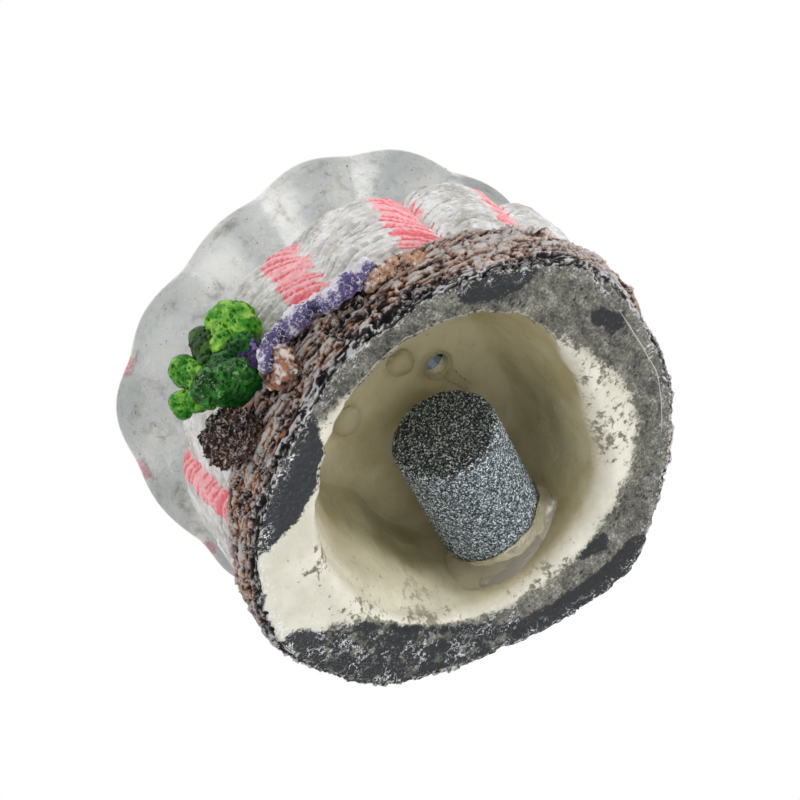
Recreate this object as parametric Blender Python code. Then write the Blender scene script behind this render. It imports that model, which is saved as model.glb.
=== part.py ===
"""Bubbling aquarium ornament: an open giant clam on a rock plinth, with an air stone glued in its hollow base.

Lengths are in millimetres until make_object turns them into metres. +Z is up, the clam opens towards -Y, its
hinge is at +Y, and the origin is under the middle of the whole ornament, on the surface that it stands on.
"""

import math

import bmesh
import bpy
import numpy as np
from mathutils import Matrix, Vector, noise

MM = 0.001
GAP = 0.35
STEPS = 90
THETA = np.arange(STEPS) * 2 * math.pi / STEPS

# Rock plinth: the outline's radius every 15 degrees from +X, about the middle of the base.
BASE_CENTRE = (-1.5, 5.5)
BASE_RADII = (
    45.0, 44.8, 44.5, 44.5, 45.5, 48.3, 45.0, 41.8, 40.6, 40.7, 42.3, 43.5,
    44.6, 45.8, 45.7, 46.0, 46.0, 46.3, 47.5, 47.7, 48.3, 48.6, 49.0, 47.3,
)
LEDGE_HEIGHT = 12.0
LEDGE_CLIMB = 9.5
LIP_WIDTH = 3.0
LIP_FRONT_EXTRA = 1.8
LIP_RISE = (2.0, 2.2, 2.5, 2.8, 3.0, 3.0, 2.8, 2.5, 2.2, 2.0, 1.8, 1.5, 1.2, 1.0, 1.0, 1.2, 1.5, 1.8)
ROCK_ROUGHNESS = 0.7

# Cavity under the clam: the mouth's radius every 30 degrees, and how much of it is left at the ceiling.
MOUTH_CENTRE = (-1.0, 0.0)
MOUTH_RADII = (29.3, 29.8, 34.7, 35.2, 34.4, 31.9, 29.8, 30.2, 33.0, 36.4, 37.0, 34.2)
CEILING_SHARE = (0.80, 0.84, 0.86, 0.90, 0.93, 0.68, 0.75, 0.80, 0.80, 0.78, 0.80, 0.80)
CEILING_HEIGHT = 28.0
CORE_TOP = 31.0

# Lower valve: half an ellipse towards the front and a flatter half towards the hinge.
VALVE_CENTRE = (1.0, 8.0)
VALVE_HALF_WIDTH = 46.0
VALVE_FRONT = 50.0
VALVE_BACK = 34.0
VALVE_FOOT = 0.95
VALVE_BELLY = 0.99
VALVE_LEVELS = ((0.0, VALVE_FOOT, 0.5), (0.25, 0.972, 0.65), (0.5, VALVE_BELLY, 0.8), (0.75, 1.0, 0.92))
RIM_HEIGHT = 36.0
RIM_CLIMB = 1.6
VALVE_WALL = 3.6
UMBO_Y = 43.0
RIB_PITCH = math.radians(16.3)
LOWER_VALLEY = math.radians(2.8)
LID_VALLEY = math.radians(5.4)
RIB_DEPTH = 2.6
RIB_LIFT = 1.8

# Upper valve: a domed fan fixed open at this angle.
HINGE = (-1.5, 38.0, 38.4)
LID_ANGLE = math.radians(36.0)
LID_HALF_WIDTH = 48.0
LID_FULLNESS = {"left": 2.9, "right": 2.2}
LID_LENGTH = 72.0
LID_WIDEST = 27.0
LID_DOME = 16.5
LID_WALL = 3.0

# Air stone, lying front to back with its feed end against the cavity's back wall.
STONE_FRONT = Vector((2.5, 0.0, 12.2))
STONE_LENGTH = 30.6
STONE_RADIUS = 10.7
STONE_EDGE = 1.8
STONE_HEADING = math.radians(10.0)
STONE_TILT = math.radians(6.0)
NIPPLE_RADIUS = 2.4
AIRWAY_RADIUS = 1.1
INLET_RADIUS = 3.0
INLET_REACH = 9.0

BUBBLE_HOLE = (11.2, 1.5)
BUBBLE_HOLE_RADIUS = 2.6

# Glue under the cavity's ceiling: (name, centre in plan, radius).
GLUE_DROPS = (("glue_drop_left", (-9.0, -6.2), 3.4), ("glue_drop_front", (6.3, -6.8), 3.0))
GLUE_BEAD_SIZE = (4.6, 5.4, 2.6)
GLUE_BED_SIZE = (13.5, 4.0, 9.5)

# Coral stub at the front left and its branches: (name, root, tip, root radius, tip radius, colour).
CORAL_STUB = {"centre": (-17.4, -43.6, 17.6), "size": (6.4, 4.4, 6.0), "seed": 3.0, "roughness": 0.15}
CORAL_BRANCHES = (
    ("green_coral_branch_tall", (-15.0, -44.6, 21.0), (-10.6, -45.0, 27.8), 3.0, 3.4, "lime"),
    ("green_coral_branch_dark", (-18.2, -44.4, 23.0), (-16.6, -44.4, 29.0), 2.6, 2.7, "green"),
    ("green_coral_branch_left", (-21.5, -44.6, 21.0), (-23.0, -44.8, 26.6), 2.6, 2.8, "green"),
    ("green_coral_branch_low", (-22.8, -43.6, 17.5), (-27.4, -43.4, 22.4), 2.1, 2.0, "lime"),
    ("green_coral_branch_front", (-20.0, -46.0, 14.8), (-21.0, -48.2, 16.0), 2.2, 2.2, "lime"),
)

# Sponge ridge along the front lip, from its left foot to its right end, and the tip beside the coral.
SPONGE_PATH = (
    (-11.4, -46.2, 9.6), (-8.4, -46.2, 12.4), (-4.5, -46.2, 13.4), (0.5, -46.0, 12.8),
    (5.0, -45.6, 11.2), (9.7, -44.8, 10.8), (14.0, -43.4, 11.6),
)
SPONGE_RADII = (1.5, 1.6, 1.7, 1.7, 1.7, 1.7, 1.4)
SPONGE_TIP = {"centre": (-12.4, -45.2, 15.4), "size": (2.5, 2.2, 3.2), "seed": 9.0, "roughness": 0.5}

# Stones and growths modelled on the lip: (name, centre, half sizes, colour, seed).
LIP_PIECES = (
    ("rock_boulder_right", (39.5, -21.5, 11.6), (5.6, 3.8, 3.2), "orange", 1.0),
    ("rock_boulder_front", (-9.8, -45.2, 10.0), (3.6, 3.0, 3.4), "orange", 5.0),
    ("shell_fragment", (17.5, -41.8, 12.8), (4.0, 2.6, 2.4), "beige", 7.0),
    ("barnacle_cluster", (-25.0, -39.2, 11.2), (5.2, 3.8, 4.6), "dark", 11.0),
)
LIP_ROUGHNESS = 0.35

# Leathery hinge pad: stations along it and its radius at each.
LIGAMENT_X = (-15.0, -9.0, -3.0, 3.0, 9.0, 15.0)
LIGAMENT_RADII = (1.8, 2.9, 3.3, 3.4, 2.9, 1.8)
LIGAMENT_Y = 43.6
LIGAMENT_BOW = 0.012
LIGAMENT_HEIGHT = 38.4


def clear_scene():
    for item in list(bpy.data.objects):
        bpy.data.objects.remove(item, do_unlink=True)


def material(name, colour, roughness, metallic=0.0):
    made = bpy.data.materials.new(name)
    made.use_nodes = True
    shader = made.node_tree.nodes["Principled BSDF"]
    shader.inputs["Base Color"].default_value = (*colour, 1.0)
    shader.inputs["Roughness"].default_value = roughness
    shader.inputs["Metallic"].default_value = metallic
    return made


def make_object(name, points, faces, finish=None):
    """One closed object from points in millimetres."""
    mesh = bpy.data.meshes.new(name)
    mesh.from_pydata([tuple(float(v) * MM for v in p) for p in points], [], faces)
    shell = bmesh.new()
    shell.from_mesh(mesh)
    bmesh.ops.triangulate(shell, faces=shell.faces)
    bmesh.ops.recalc_face_normals(shell, faces=shell.faces)
    shell.to_mesh(mesh)
    shell.free()
    mesh.shade_smooth()
    mesh.set_sharp_from_angle(angle=math.radians(40))
    if finish is not None:
        mesh.materials.append(finish)
    item = bpy.data.objects.new(name, mesh)
    bpy.context.scene.collection.objects.link(item)
    return item


def loft(name, rings, finish=None, wrap=False):
    """Skins a list of rings with equal counts: capped at both ends, or joined into a loop when wrap is set."""
    count = len(rings[0])
    points = np.concatenate(rings)
    faces = []
    for row in range(len(rings) if wrap else len(rings) - 1):
        here = row * count
        above = ((row + 1) % len(rings)) * count
        for k in range(count):
            after = (k + 1) % count
            faces.append((here + k, here + after, above + after, above + k))
    if not wrap:
        faces.append(tuple(reversed(range(count))))
        faces.append(tuple(range(len(points) - count, len(points))))
    return make_object(name, points, faces, finish)


def as_cutter(item):
    item.hide_render = True
    item.display_type = "WIRE"
    return item


def boolean(item, cutter, operation="DIFFERENCE"):
    step = item.modifiers.new(f"{operation.lower()}_{cutter.name}", "BOOLEAN")
    step.operation = operation
    step.solver = "EXACT"
    step.object = cutter


def through_points(values, angles=THETA):
    """A smooth closed curve through values given at equal angles, read at the given angles."""
    given = np.array(values, float)
    at = np.mod(angles, 2 * math.pi) * len(given) / (2 * math.pi)
    index = np.floor(at).astype(int)
    t = at - index
    a, b, c, d = (given[(index + k) % len(given)] for k in (-1, 0, 1, 2))
    return 0.5 * (2 * b + (c - a) * t + (2 * a - 5 * b + 4 * c - d) * t**2 + (3 * b - a - 3 * c + d) * t**3)


def polar_ring(centre, radius, height):
    """Points at every angle of THETA round a centre."""
    radius = np.broadcast_to(radius, STEPS)
    height = np.broadcast_to(height, STEPS)
    across = centre[0] + radius * np.cos(THETA)
    along = centre[1] + radius * np.sin(THETA)
    return np.stack([across, along, height], axis=1)


def roughened(ring, amount, seed):
    """The ring with each point pushed in or out a little in plan, as on broken rock."""
    middle = ring.mean(axis=0)
    out = ring.copy()
    for k, point in enumerate(ring):
        push = amount * noise.noise(Vector(point) * 0.16 + Vector((seed, 0.0, 0.0)))
        outward = (point - middle)[:2]
        out[k, :2] += outward / np.linalg.norm(outward) * push
    return out


def rib(fan_angle, valley):
    """0 in the valleys between ribs and 1 on their crests, fading out where the fan closes at the hinge."""
    phase = np.abs(np.sin(np.pi * (fan_angle - valley) / RIB_PITCH)) ** 0.8
    fade = np.clip((math.radians(98) - np.abs(fan_angle)) / math.radians(25), 0, 1)
    return 1 - (1 - phase) * fade


def towards_hinge():
    """0 round the open side and 1 straight behind the hinge."""
    return np.clip(np.sin(THETA), 0, 1) ** 2


def ledge():
    """Height of the shelf under the lower valve, which climbs towards the hinge."""
    return LEDGE_HEIGHT + LEDGE_CLIMB * towards_hinge()


def wall_height(level, lift=GAP):
    """Height on the lower valve's wall: level 0 on the ledge and 1 at the rim."""
    return (ledge() + lift) * (1 - level) + RIM_HEIGHT * level


def valve_ellipse():
    depth = np.where(np.sin(THETA) < 0, VALVE_FRONT, VALVE_BACK)
    return 1 / np.sqrt((np.cos(THETA) / VALVE_HALF_WIDTH) ** 2 + (np.sin(THETA) / depth) ** 2)


def valve_outer(share, depth, height, grow=0.0):
    """A ring of the lower valve's ribbed outer side: share of the rim's size, depth of the ribs there."""
    full = valve_ellipse()
    rim = polar_ring(VALVE_CENTRE, full, 0)
    fan = np.arctan2(rim[:, 0] - VALVE_CENTRE[0], UMBO_Y - rim[:, 1])
    radius = full * share - depth * (1 - rib(fan, LOWER_VALLEY)) + grow
    return polar_ring(VALVE_CENTRE, radius, height), rib(fan, LOWER_VALLEY)


def valve_inner(share, height, inset=0.0):
    """A ring of the lower valve's smooth inner side."""
    return polar_ring(VALVE_CENTRE, valve_ellipse() * share - VALVE_WALL - inset, height)


def cavity_rings(inset=0.0):
    """The hollow from its mouth up to its ceiling. A positive inset keeps inside it."""
    mouth = through_points(MOUTH_RADII)
    share = through_points(CEILING_SHARE)
    rings = []
    for height, part in ((0, 0.0), (7, 0.12), (16, 0.38), (22, 0.62), (26, 0.86), (27.6, 1.12)):
        radius = mouth * (1 - (1 - share) * part) - inset
        rings.append(polar_ring(MOUTH_CENTRE, radius, height - (inset if height else 0)))
    rings.append(polar_ring(MOUTH_CENTRE, 0.55 * mouth * share, CEILING_HEIGHT - inset))
    return rings


def rock_rings(grow=0.0):
    """The plinth's outside from the base up to the lip round the clam's foot."""
    base = through_points(BASE_RADII)
    rise = through_points(LIP_RISE)
    rings = []
    for seed, (height, share) in enumerate(((0, 1.0), (2.5, 1.02), (6, 1.025), (9.5, 1.02))):
        ring = polar_ring(BASE_CENTRE, base * share + grow, height)
        rings.append(ring if height == 0 else roughened(ring, ROCK_ROUGHNESS, seed))
    width = LIP_WIDTH + LIP_FRONT_EXTRA * np.clip(-np.sin(THETA), 0, 1) ** 2
    foot, _ = valve_outer(VALVE_FOOT, 0, ledge() + 0.7 * rise, width + grow)
    rings.append(roughened(foot, ROCK_ROUGHNESS, 7))
    crest, _ = valve_outer(VALVE_FOOT, 0, ledge() + rise + grow, 1.6)
    rings.append(crest)
    return rings


def rock_plinth():
    """Base ring, cavity and the core that the clam sits round, cast in one piece."""
    rings = list(reversed(cavity_rings())) + rock_rings()
    ledge_edge, _ = valve_outer(VALVE_FOOT, 0, ledge(), 0.9)
    rings.append(ledge_edge)
    rings.append(valve_inner(VALVE_FOOT, ledge(), GAP))
    rings.append(valve_inner(VALVE_BELLY, wall_height(0.5), GAP + 0.6))
    rings.append(valve_inner(VALVE_BELLY, CORE_TOP - 1, GAP + 0.8))
    rings.append(valve_inner(VALVE_BELLY, CORE_TOP, GAP + 2.0))
    body = loft("rock_plinth", rings, material("plinth_rock", (0.30, 0.20, 0.15), 0.85))
    boolean(body, bubble_drill("plinth", CEILING_HEIGHT - 5, CORE_TOP + 3, BUBBLE_HOLE_RADIUS))
    boolean(body, inlet_drill())
    return body


def bubble_drill(name, bottom, top, radius):
    return as_cutter(turned(f"cutter_bubble_{name}", [(radius, bottom), (radius, top)],
                            Vector((*BUBBLE_HOLE, 0)), Vector((0, 0, 1)), steps=20))


def turned(name, profile, origin, axis, finish=None, steps=32, bore=None):
    """A solid of revolution: profile lists (radius, distance along the axis). A bore makes it a tube."""
    turn = axis.to_track_quat("Z", "Y").to_matrix().to_4x4()
    place = Matrix.Translation(origin) @ turn
    outline = list(profile)
    if bore is not None:
        outline += [(bore, profile[-1][1]), (bore, profile[0][1])]
    angles = np.arange(steps) * 2 * math.pi / steps
    rings = []
    for radius, along in outline:
        ring = [place @ Vector((radius * math.cos(a), radius * math.sin(a), along)) for a in angles]
        rings.append(np.array(ring))
    return loft(name, rings, finish, wrap=bore is not None)


def stone_axis():
    """Unit vector from the stone's free front end to its feed end."""
    level = math.cos(STONE_TILT)
    return Vector((-level * math.sin(STONE_HEADING), level * math.cos(STONE_HEADING), math.sin(STONE_TILT)))


def stone_rear():
    return STONE_FRONT + stone_axis() * STONE_LENGTH


def inlet_start():
    """Where the inlet's bore begins, inside the back wall just behind the nipple's tip."""
    tip = stone_rear() + stone_axis() * 5.0
    return Vector((tip.x, tip.y + 1.2, tip.z))


def inlet_drill():
    start = inlet_start()
    return as_cutter(turned("cutter_inlet", [(INLET_RADIUS + GAP, -9.0), (INLET_RADIUS + GAP, 40.0)],
                            start, Vector((0, 1, 0)), steps=24))


def rounded_profile(radius, length, edge):
    """A cylinder's profile with its two rims rounded."""
    arc = [math.radians(a) for a in (0, 30, 60, 90)]
    front = [(radius - edge + edge * math.sin(a), edge - edge * math.cos(a)) for a in arc]
    back = [(radius - edge + edge * math.cos(a), length - edge + edge * math.sin(a)) for a in arc]
    return front + back


def air_stone():
    stone = turned("air_stone", rounded_profile(STONE_RADIUS, STONE_LENGTH, STONE_EDGE), STONE_FRONT,
                   stone_axis(), material("mineral", (0.12, 0.13, 0.15), 0.95), steps=40)
    socket = turned("cutter_socket", [(NIPPLE_RADIUS + GAP, -6.3), (NIPPLE_RADIUS + GAP, 3.0)],
                    stone_rear(), stone_axis(), steps=24)
    boolean(stone, as_cutter(socket))
    return stone


def air_stone_nipple():
    """Barbed plastic stub: six millimetres in the stone, five in the back wall."""
    barb = NIPPLE_RADIUS + 0.25
    profile = [(NIPPLE_RADIUS, -6.0), (NIPPLE_RADIUS, 2.0), (barb, 2.2), (NIPPLE_RADIUS - 0.5, 5.0)]
    return turned("air_stone_nipple", profile, stone_rear(), stone_axis(),
                  material("clear_plastic", (0.75, 0.78, 0.78), 0.2), steps=24, bore=AIRWAY_RADIUS)


def air_inlet():
    """Rigid tube through the back wall with a barbed end outside for the pump's air line."""
    start = inlet_start()
    length = BASE_CENTRE[1] + BASE_RADII[6] + INLET_REACH - start.y
    tip = INLET_RADIUS - 1.0
    profile = [
        (INLET_RADIUS, 0.0), (INLET_RADIUS, length - 7.5), (tip, length - 7.3), (tip, length - 5.2),
        (tip + 0.5, length - 5.0), (tip, length - 2.8), (tip + 0.5, length - 2.6), (tip - 0.1, length),
    ]
    return turned("air_inlet", profile, start, Vector((0, 1, 0)),
                  material("inlet_plastic", (0.05, 0.05, 0.05), 0.35), steps=28, bore=AIRWAY_RADIUS)


def lower_valve():
    rings = []
    for level, share, depth in VALVE_LEVELS:
        ring, _ = valve_outer(share, RIB_DEPTH * depth, wall_height(level))
        rings.append(ring)
    rim, crest = valve_outer(1.0, RIB_DEPTH, 0)
    rim[:, 2] = RIM_HEIGHT - RIB_LIFT * (1 - crest) + RIM_CLIMB * towards_hinge()
    rings.append(rim)
    lip = polar_ring(VALVE_CENTRE, np.hypot(*(rim[:, :2] - VALVE_CENTRE).T) - 1.3, rim[:, 2] + 0.1)
    rings.append(lip)
    rings.append(valve_inner(1.0, RIM_HEIGHT - 3))
    rings.append(valve_inner(VALVE_BELLY, wall_height(0.5)))
    rings.append(valve_inner(VALVE_FOOT, wall_height(0.0)))
    return loft("lower_valve", rings, material("shell", (0.78, 0.76, 0.73), 0.55), wrap=True)


def clam_mantle():
    """The blue flesh inside the lower valve, with a wavy lip and the opening that the bubbles leave by."""
    bottom = CORE_TOP + GAP
    wave = np.sin(11 * THETA)
    low = 1 - 0.55 * np.clip(np.sin(THETA), 0, 1)
    inner = valve_ellipse() * VALVE_BELLY - VALVE_WALL - 2 * GAP
    rings = [
        polar_ring(VALVE_CENTRE, 0.3 * inner, bottom),
        polar_ring(VALVE_CENTRE, inner, bottom),
        polar_ring(VALVE_CENTRE, inner - 0.3, bottom + 2.2),
        polar_ring(VALVE_CENTRE, 0.86 * inner, 34.5 + low * (2.4 + 0.9 * wave)),
        polar_ring(VALVE_CENTRE, 0.70 * inner + wave, 34.2 + low * (3.6 + 1.2 * wave)),
        polar_ring(VALVE_CENTRE, 0.52 * inner, 34.4),
        polar_ring(VALVE_CENTRE, 0.22 * inner, 33.8),
    ]
    flesh = loft("clam_mantle", rings, material("mantle", (0.06, 0.22, 0.45), 0.35))
    boolean(flesh, bubble_drill("mantle", CORE_TOP - 3, RIM_HEIGHT + 9, BUBBLE_HOLE_RADIUS + 0.6))
    return flesh


def lid_place(across, along, above):
    """From the lid's own plane (across the hinge, away from it, out of the shell) to the ornament's frame."""
    y = HINGE[1] - along * math.cos(LID_ANGLE) + above * math.sin(LID_ANGLE)
    z = HINGE[2] + along * math.sin(LID_ANGLE) + above * math.cos(LID_ANGLE)
    return np.stack([HINGE[0] + across, y, z], axis=1)


def lid_outline():
    """A rounded fan: a superellipse with a longer front half, cast a little fuller on its left."""
    cos, sin = np.cos(THETA), np.sin(THETA)
    leftward = 0.5 - 0.5 * cos
    power = 2 / (LID_FULLNESS["right"] + (LID_FULLNESS["left"] - LID_FULLNESS["right"]) * leftward)
    across = LID_HALF_WIDTH * np.sign(cos) * np.abs(cos) ** power
    reach = np.where(sin < 0, LID_LENGTH - LID_WIDEST, LID_WIDEST)
    along = LID_WIDEST - reach * np.sign(sin) * np.abs(sin) ** power
    return across, along


def lid_ring(share, sink):
    """A ring of the lid at a share of its outline. sink moves it to the inner face."""
    across, along = lid_outline()
    fan = np.arctan2(across, along + 4.0)
    ribs = rib(fan, LID_VALLEY)
    centre = LID_WIDEST - 5.0 * (1 - share)
    inset = 1 - 0.035 * share * (1 - ribs) - sink * 0.012 * share
    dome = LID_DOME * (1 - share**2.4) ** 0.7
    lift = RIB_LIFT * share * share * (ribs - 1)
    return lid_place(across * share * inset, centre + (along - LID_WIDEST) * share * inset, dome + lift - sink)


def upper_valve():
    """The lid: a ribbed dome whose smooth hollow side faces the mantle."""
    shares = (0.12, 0.35, 0.58, 0.78, 0.92, 0.985)
    outer = [lid_ring(share, 0.0) for share in shares]
    edge = [lid_ring(1.0, 0.9)]
    inner = [lid_ring(share, LID_WALL) for share in reversed(shares[:-1])]
    return loft("upper_valve", outer + edge + inner, material("shell_inner", (0.80, 0.78, 0.75), 0.5))


def pod(name, start, end, radius, tip_radius, finish=None, grow=0.0, steps=14):
    """A finger with a rounded tip and a rounded root, between two points."""
    start, end = Vector(start), Vector(end)
    axis = end - start
    length = axis.length
    profile = []
    for a in np.radians((80, 50, 20)):
        profile.append((math.cos(a) * radius, -math.sin(a) * radius * 0.6))
    profile.append((0.5 * (radius + tip_radius) * 0.96, 0.5 * length))
    for a in np.radians((10, 40, 65, 84)):
        profile.append((math.cos(a) * tip_radius, length + math.sin(a) * tip_radius))
    grown = [(r + grow, h + grow * (1 if h > length / 2 else -1)) for r, h in profile]
    return turned(name, grown, start, axis.normalized(), finish, steps=steps)


def lump(name, centre, size, finish=None, seed=0.0, roughness=0.22, steps=14, grow=0.0):
    """A broken, rounded boulder."""
    rings = []
    for tilt in np.radians((-78, -50, -22, 8, 38, 64, 82)):
        ring = []
        for a in np.arange(steps) * 2 * math.pi / steps:
            way = Vector((math.cos(a) * math.cos(tilt), math.sin(a) * math.cos(tilt), math.sin(tilt)))
            push = 1 + roughness * noise.noise(way * 1.3 + Vector((seed, seed, 0)))
            ring.append([centre[i] + way[i] * (size[i] * push + grow) for i in range(3)])
        rings.append(np.array(ring))
    return loft(name, rings, finish)


def keep_clear(item, *cutters):
    for cutter in cutters:
        boolean(item, cutter)


def valve_envelope():
    """The lower valve's outer side grown by the assembly gap, to trim whatever stands against it."""
    rings = [valve_outer(VALVE_FOOT, 0, LEDGE_HEIGHT - 1, GAP)[0]]
    for level, share, depth in VALVE_LEVELS:
        rings.append(valve_outer(share, RIB_DEPTH * depth, wall_height(level), GAP)[0])
    rings.append(valve_outer(1.0, RIB_DEPTH, RIM_HEIGHT + 4, GAP)[0])
    return as_cutter(loft("cutter_valve", rings))


def rock_envelope():
    """The plinth's outside grown by the assembly gap, up to the lip and in over the ledge."""
    rings = rock_rings(GAP)
    rings[0][:, 2] = -1.0
    inner, _ = valve_outer(VALVE_FOOT, 0, ledge() + GAP, 0.2)
    rings.append(inner)
    return as_cutter(loft("cutter_rock", rings))


def green_coral(valve_cut, rock_cut):
    """A glossy stub with five stubby branches that point up and outward."""
    finish = {
        "green": material("green_coral", (0.08, 0.42, 0.05), 0.3),
        "lime": material("lime_coral", (0.35, 0.62, 0.10), 0.35),
    }
    stub = lump("green_coral_base", finish=finish["green"], **CORAL_STUB)
    keep_clear(stub, valve_cut, rock_cut)
    earlier = [as_cutter(lump("cutter_coral_base", grow=GAP, **CORAL_STUB))]
    for name, root, tip, radius, tip_radius, colour in CORAL_BRANCHES:
        branch = pod(name, root, tip, radius, tip_radius, finish[colour])
        keep_clear(branch, valve_cut, rock_cut, *earlier)
        grown = pod(f"cutter_{name}", root, tip, radius, tip_radius, grow=GAP)
        earlier.append(as_cutter(grown))
    return earlier


def purple_sponge(valve_cut, rock_cut, coral_cuts):
    """A ruffled ridge along the lip, bridged like an arch, with a scalloped tip at its left end."""
    finish = material("purple_sponge", (0.22, 0.13, 0.38), 0.7)
    ridge = swept("purple_sponge", SPONGE_PATH, SPONGE_RADII, finish)
    keep_clear(ridge, valve_cut, rock_cut, *coral_cuts)
    grown_ridge = as_cutter(swept("cutter_sponge", SPONGE_PATH, [r + GAP for r in SPONGE_RADII], extend=GAP))
    tip = lump("purple_sponge_tip", finish=finish, **SPONGE_TIP)
    keep_clear(tip, valve_cut, rock_cut, grown_ridge, *coral_cuts)
    grown_tip = as_cutter(lump("cutter_sponge_tip", grow=GAP, **SPONGE_TIP))
    return [grown_ridge, grown_tip]


def swept(name, path, widths, finish=None, extend=0.0, steps=12):
    """A tube of changing width along a line of points, its ends rounded off."""
    points = [Vector(p) for p in path]
    rings = []
    for k, point in enumerate(points):
        ahead = (points[min(k + 1, len(points) - 1)] - points[max(k - 1, 0)]).normalized()
        side = ahead.cross(Vector((0, 0, 1))).normalized()
        up = side.cross(ahead)
        here = [(widths[k], 0.0)]
        if k == 0:
            here = [(0.45 * widths[k], -0.9 * widths[k] - extend)] + here
        if k == len(points) - 1:
            here = here + [(0.45 * widths[k], 0.9 * widths[k] + extend)]
        for width, along in here:
            ring = []
            for a in np.arange(steps) * 2 * math.pi / steps:
                ring.append(point + ahead * along + up * (width * math.cos(a)) + side * (width * math.sin(a)))
            rings.append(np.array(ring))
    return loft(name, rings, finish)


def rock_trim(valve_cut, rock_cut, *others):
    """The separate stones and growths modelled on the plinth's lip."""
    finish = {
        "orange": material("orange_rock", (0.55, 0.27, 0.14), 0.8),
        "beige": material("beige_shell", (0.72, 0.58, 0.45), 0.7),
        "dark": material("dark_growth", (0.10, 0.07, 0.06), 0.9),
    }
    for name, centre, size, colour, seed in LIP_PIECES:
        piece = lump(name, centre, size, finish[colour], seed=seed, roughness=LIP_ROUGHNESS)
        keep_clear(piece, valve_cut, rock_cut, *others)


def hinge_ligament(valve_cut, rock_cut):
    """The leathery pad that bridges the two valves behind the hinge."""
    path = [(x, LIGAMENT_Y - LIGAMENT_BOW * (x - VALVE_CENTRE[0]) ** 2, LIGAMENT_HEIGHT) for x in LIGAMENT_X]
    pad = swept("hinge_ligament", path, LIGAMENT_RADII, material("ligament", (0.20, 0.12, 0.07), 0.6), steps=16)
    keep_clear(pad, lid_envelope(), valve_cut, rock_cut, valve_rim_envelope())


def lid_envelope():
    """The lid's outer side grown by the assembly gap and closed below."""
    shares = (0.12, 0.35, 0.58, 0.78, 0.92, 1.0)
    rings = [lid_ring(share, -GAP) for share in shares]
    rings.append(lid_ring(1.0, LID_WALL + GAP))
    rings.append(lid_ring(0.12, LID_WALL + GAP) - np.array([0, 0, LID_DOME]))
    return as_cutter(loft("cutter_lid", rings))


def valve_rim_envelope():
    """A slab that fills the lower valve's mouth to the rim, grown by the gap."""
    top, _ = valve_outer(1.0, 0, RIM_HEIGHT + RIM_CLIMB + 2 * GAP, GAP)
    bottom, _ = valve_outer(1.0, 0, RIM_HEIGHT - 6, GAP)
    return as_cutter(loft("cutter_valve_mouth", [bottom, top]))


def glue(cavity_cut):
    """Clear hot-melt glue: the bed behind the stone, two stray drops and the bead round the bubble hole."""
    finish = material("clear_glue", (0.80, 0.78, 0.68), 0.12)
    rear = stone_rear()
    around = STONE_RADIUS + GAP
    stone_cut = as_cutter(turned("cutter_stone", [(around, -1), (around, STONE_LENGTH + GAP)],
                                 STONE_FRONT, stone_axis(), steps=40))
    around = NIPPLE_RADIUS + 2 * GAP
    nipple_cut = as_cutter(turned("cutter_nipple", [(around, -2), (around, 12)], rear, stone_axis(), steps=24))
    bed = lump("glue_bed", (rear.x - 1.0, rear.y - 0.5, rear.z - 5.0), GLUE_BED_SIZE, finish, seed=2.0,
               roughness=0.12, steps=28)
    boolean(bed, cavity_cut, "INTERSECT")
    keep_clear(bed, stone_cut, nipple_cut)
    for name, (x, y), radius in GLUE_DROPS:
        drop = lump(name, (x, y, CEILING_HEIGHT - 0.6), (radius, radius, 2.0), finish, seed=x,
                    roughness=0.1, steps=18)
        boolean(drop, cavity_cut, "INTERSECT")
    bead = lump("glue_bead_at_hole", (*BUBBLE_HOLE, CEILING_HEIGHT - 0.6), GLUE_BEAD_SIZE, finish, seed=4.0,
                roughness=0.1, steps=20)
    boolean(bead, cavity_cut, "INTERSECT")
    keep_clear(bead, stone_cut, bubble_drill("bead", CEILING_HEIGHT - 6, CEILING_HEIGHT + 4, 2.0))


def world_box():
    """Lowest and highest corner of every visible piece, as evaluated."""
    graph = bpy.context.evaluated_depsgraph_get()
    corners = []
    for item in bpy.context.scene.objects:
        if item.type == "MESH" and not item.hide_render:
            mesh = item.evaluated_get(graph).to_mesh()
            corners += [item.matrix_world @ v.co for v in mesh.vertices]
            item.evaluated_get(graph).to_mesh_clear()
    spots = np.array(corners)
    return spots.min(axis=0), spots.max(axis=0)


def stand_on_origin():
    """Parents everything to one empty and moves it so that the origin is under the ornament's middle."""
    low, high = world_box()
    frame = bpy.data.objects.new("ornament_frame", None)
    bpy.context.scene.collection.objects.link(frame)
    for item in list(bpy.context.scene.objects):
        if item is not frame:
            item.parent = frame
    frame.location = (-(low[0] + high[0]) / 2, -(low[1] + high[1]) / 2, -low[2])


def main():
    clear_scene()
    cavity_cut = as_cutter(loft("cutter_cavity", cavity_rings(GAP)))
    valve_cut = valve_envelope()
    rock_cut = rock_envelope()
    rock_plinth()
    lower_valve()
    clam_mantle()
    upper_valve()
    hinge_ligament(valve_cut, rock_cut)
    coral_cuts = green_coral(valve_cut, rock_cut)
    sponge_cuts = purple_sponge(valve_cut, rock_cut, coral_cuts)
    rock_trim(valve_cut, rock_cut, *coral_cuts, *sponge_cuts)
    air_stone()
    air_stone_nipple()
    air_inlet()
    glue(cavity_cut)
    stand_on_origin()


main()
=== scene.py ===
"""Looks of the bubbling clam ornament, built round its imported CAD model.

Shapes are worked out in millimetres from the middle of the plinth's cavity, as the CAD does, and `place`
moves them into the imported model's frame. The visible pieces repeat the CAD's own proportions at a much finer
grain.
"""

import math

import bmesh
import bpy
import numpy as np
from mathutils import Matrix, Vector, noise


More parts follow.
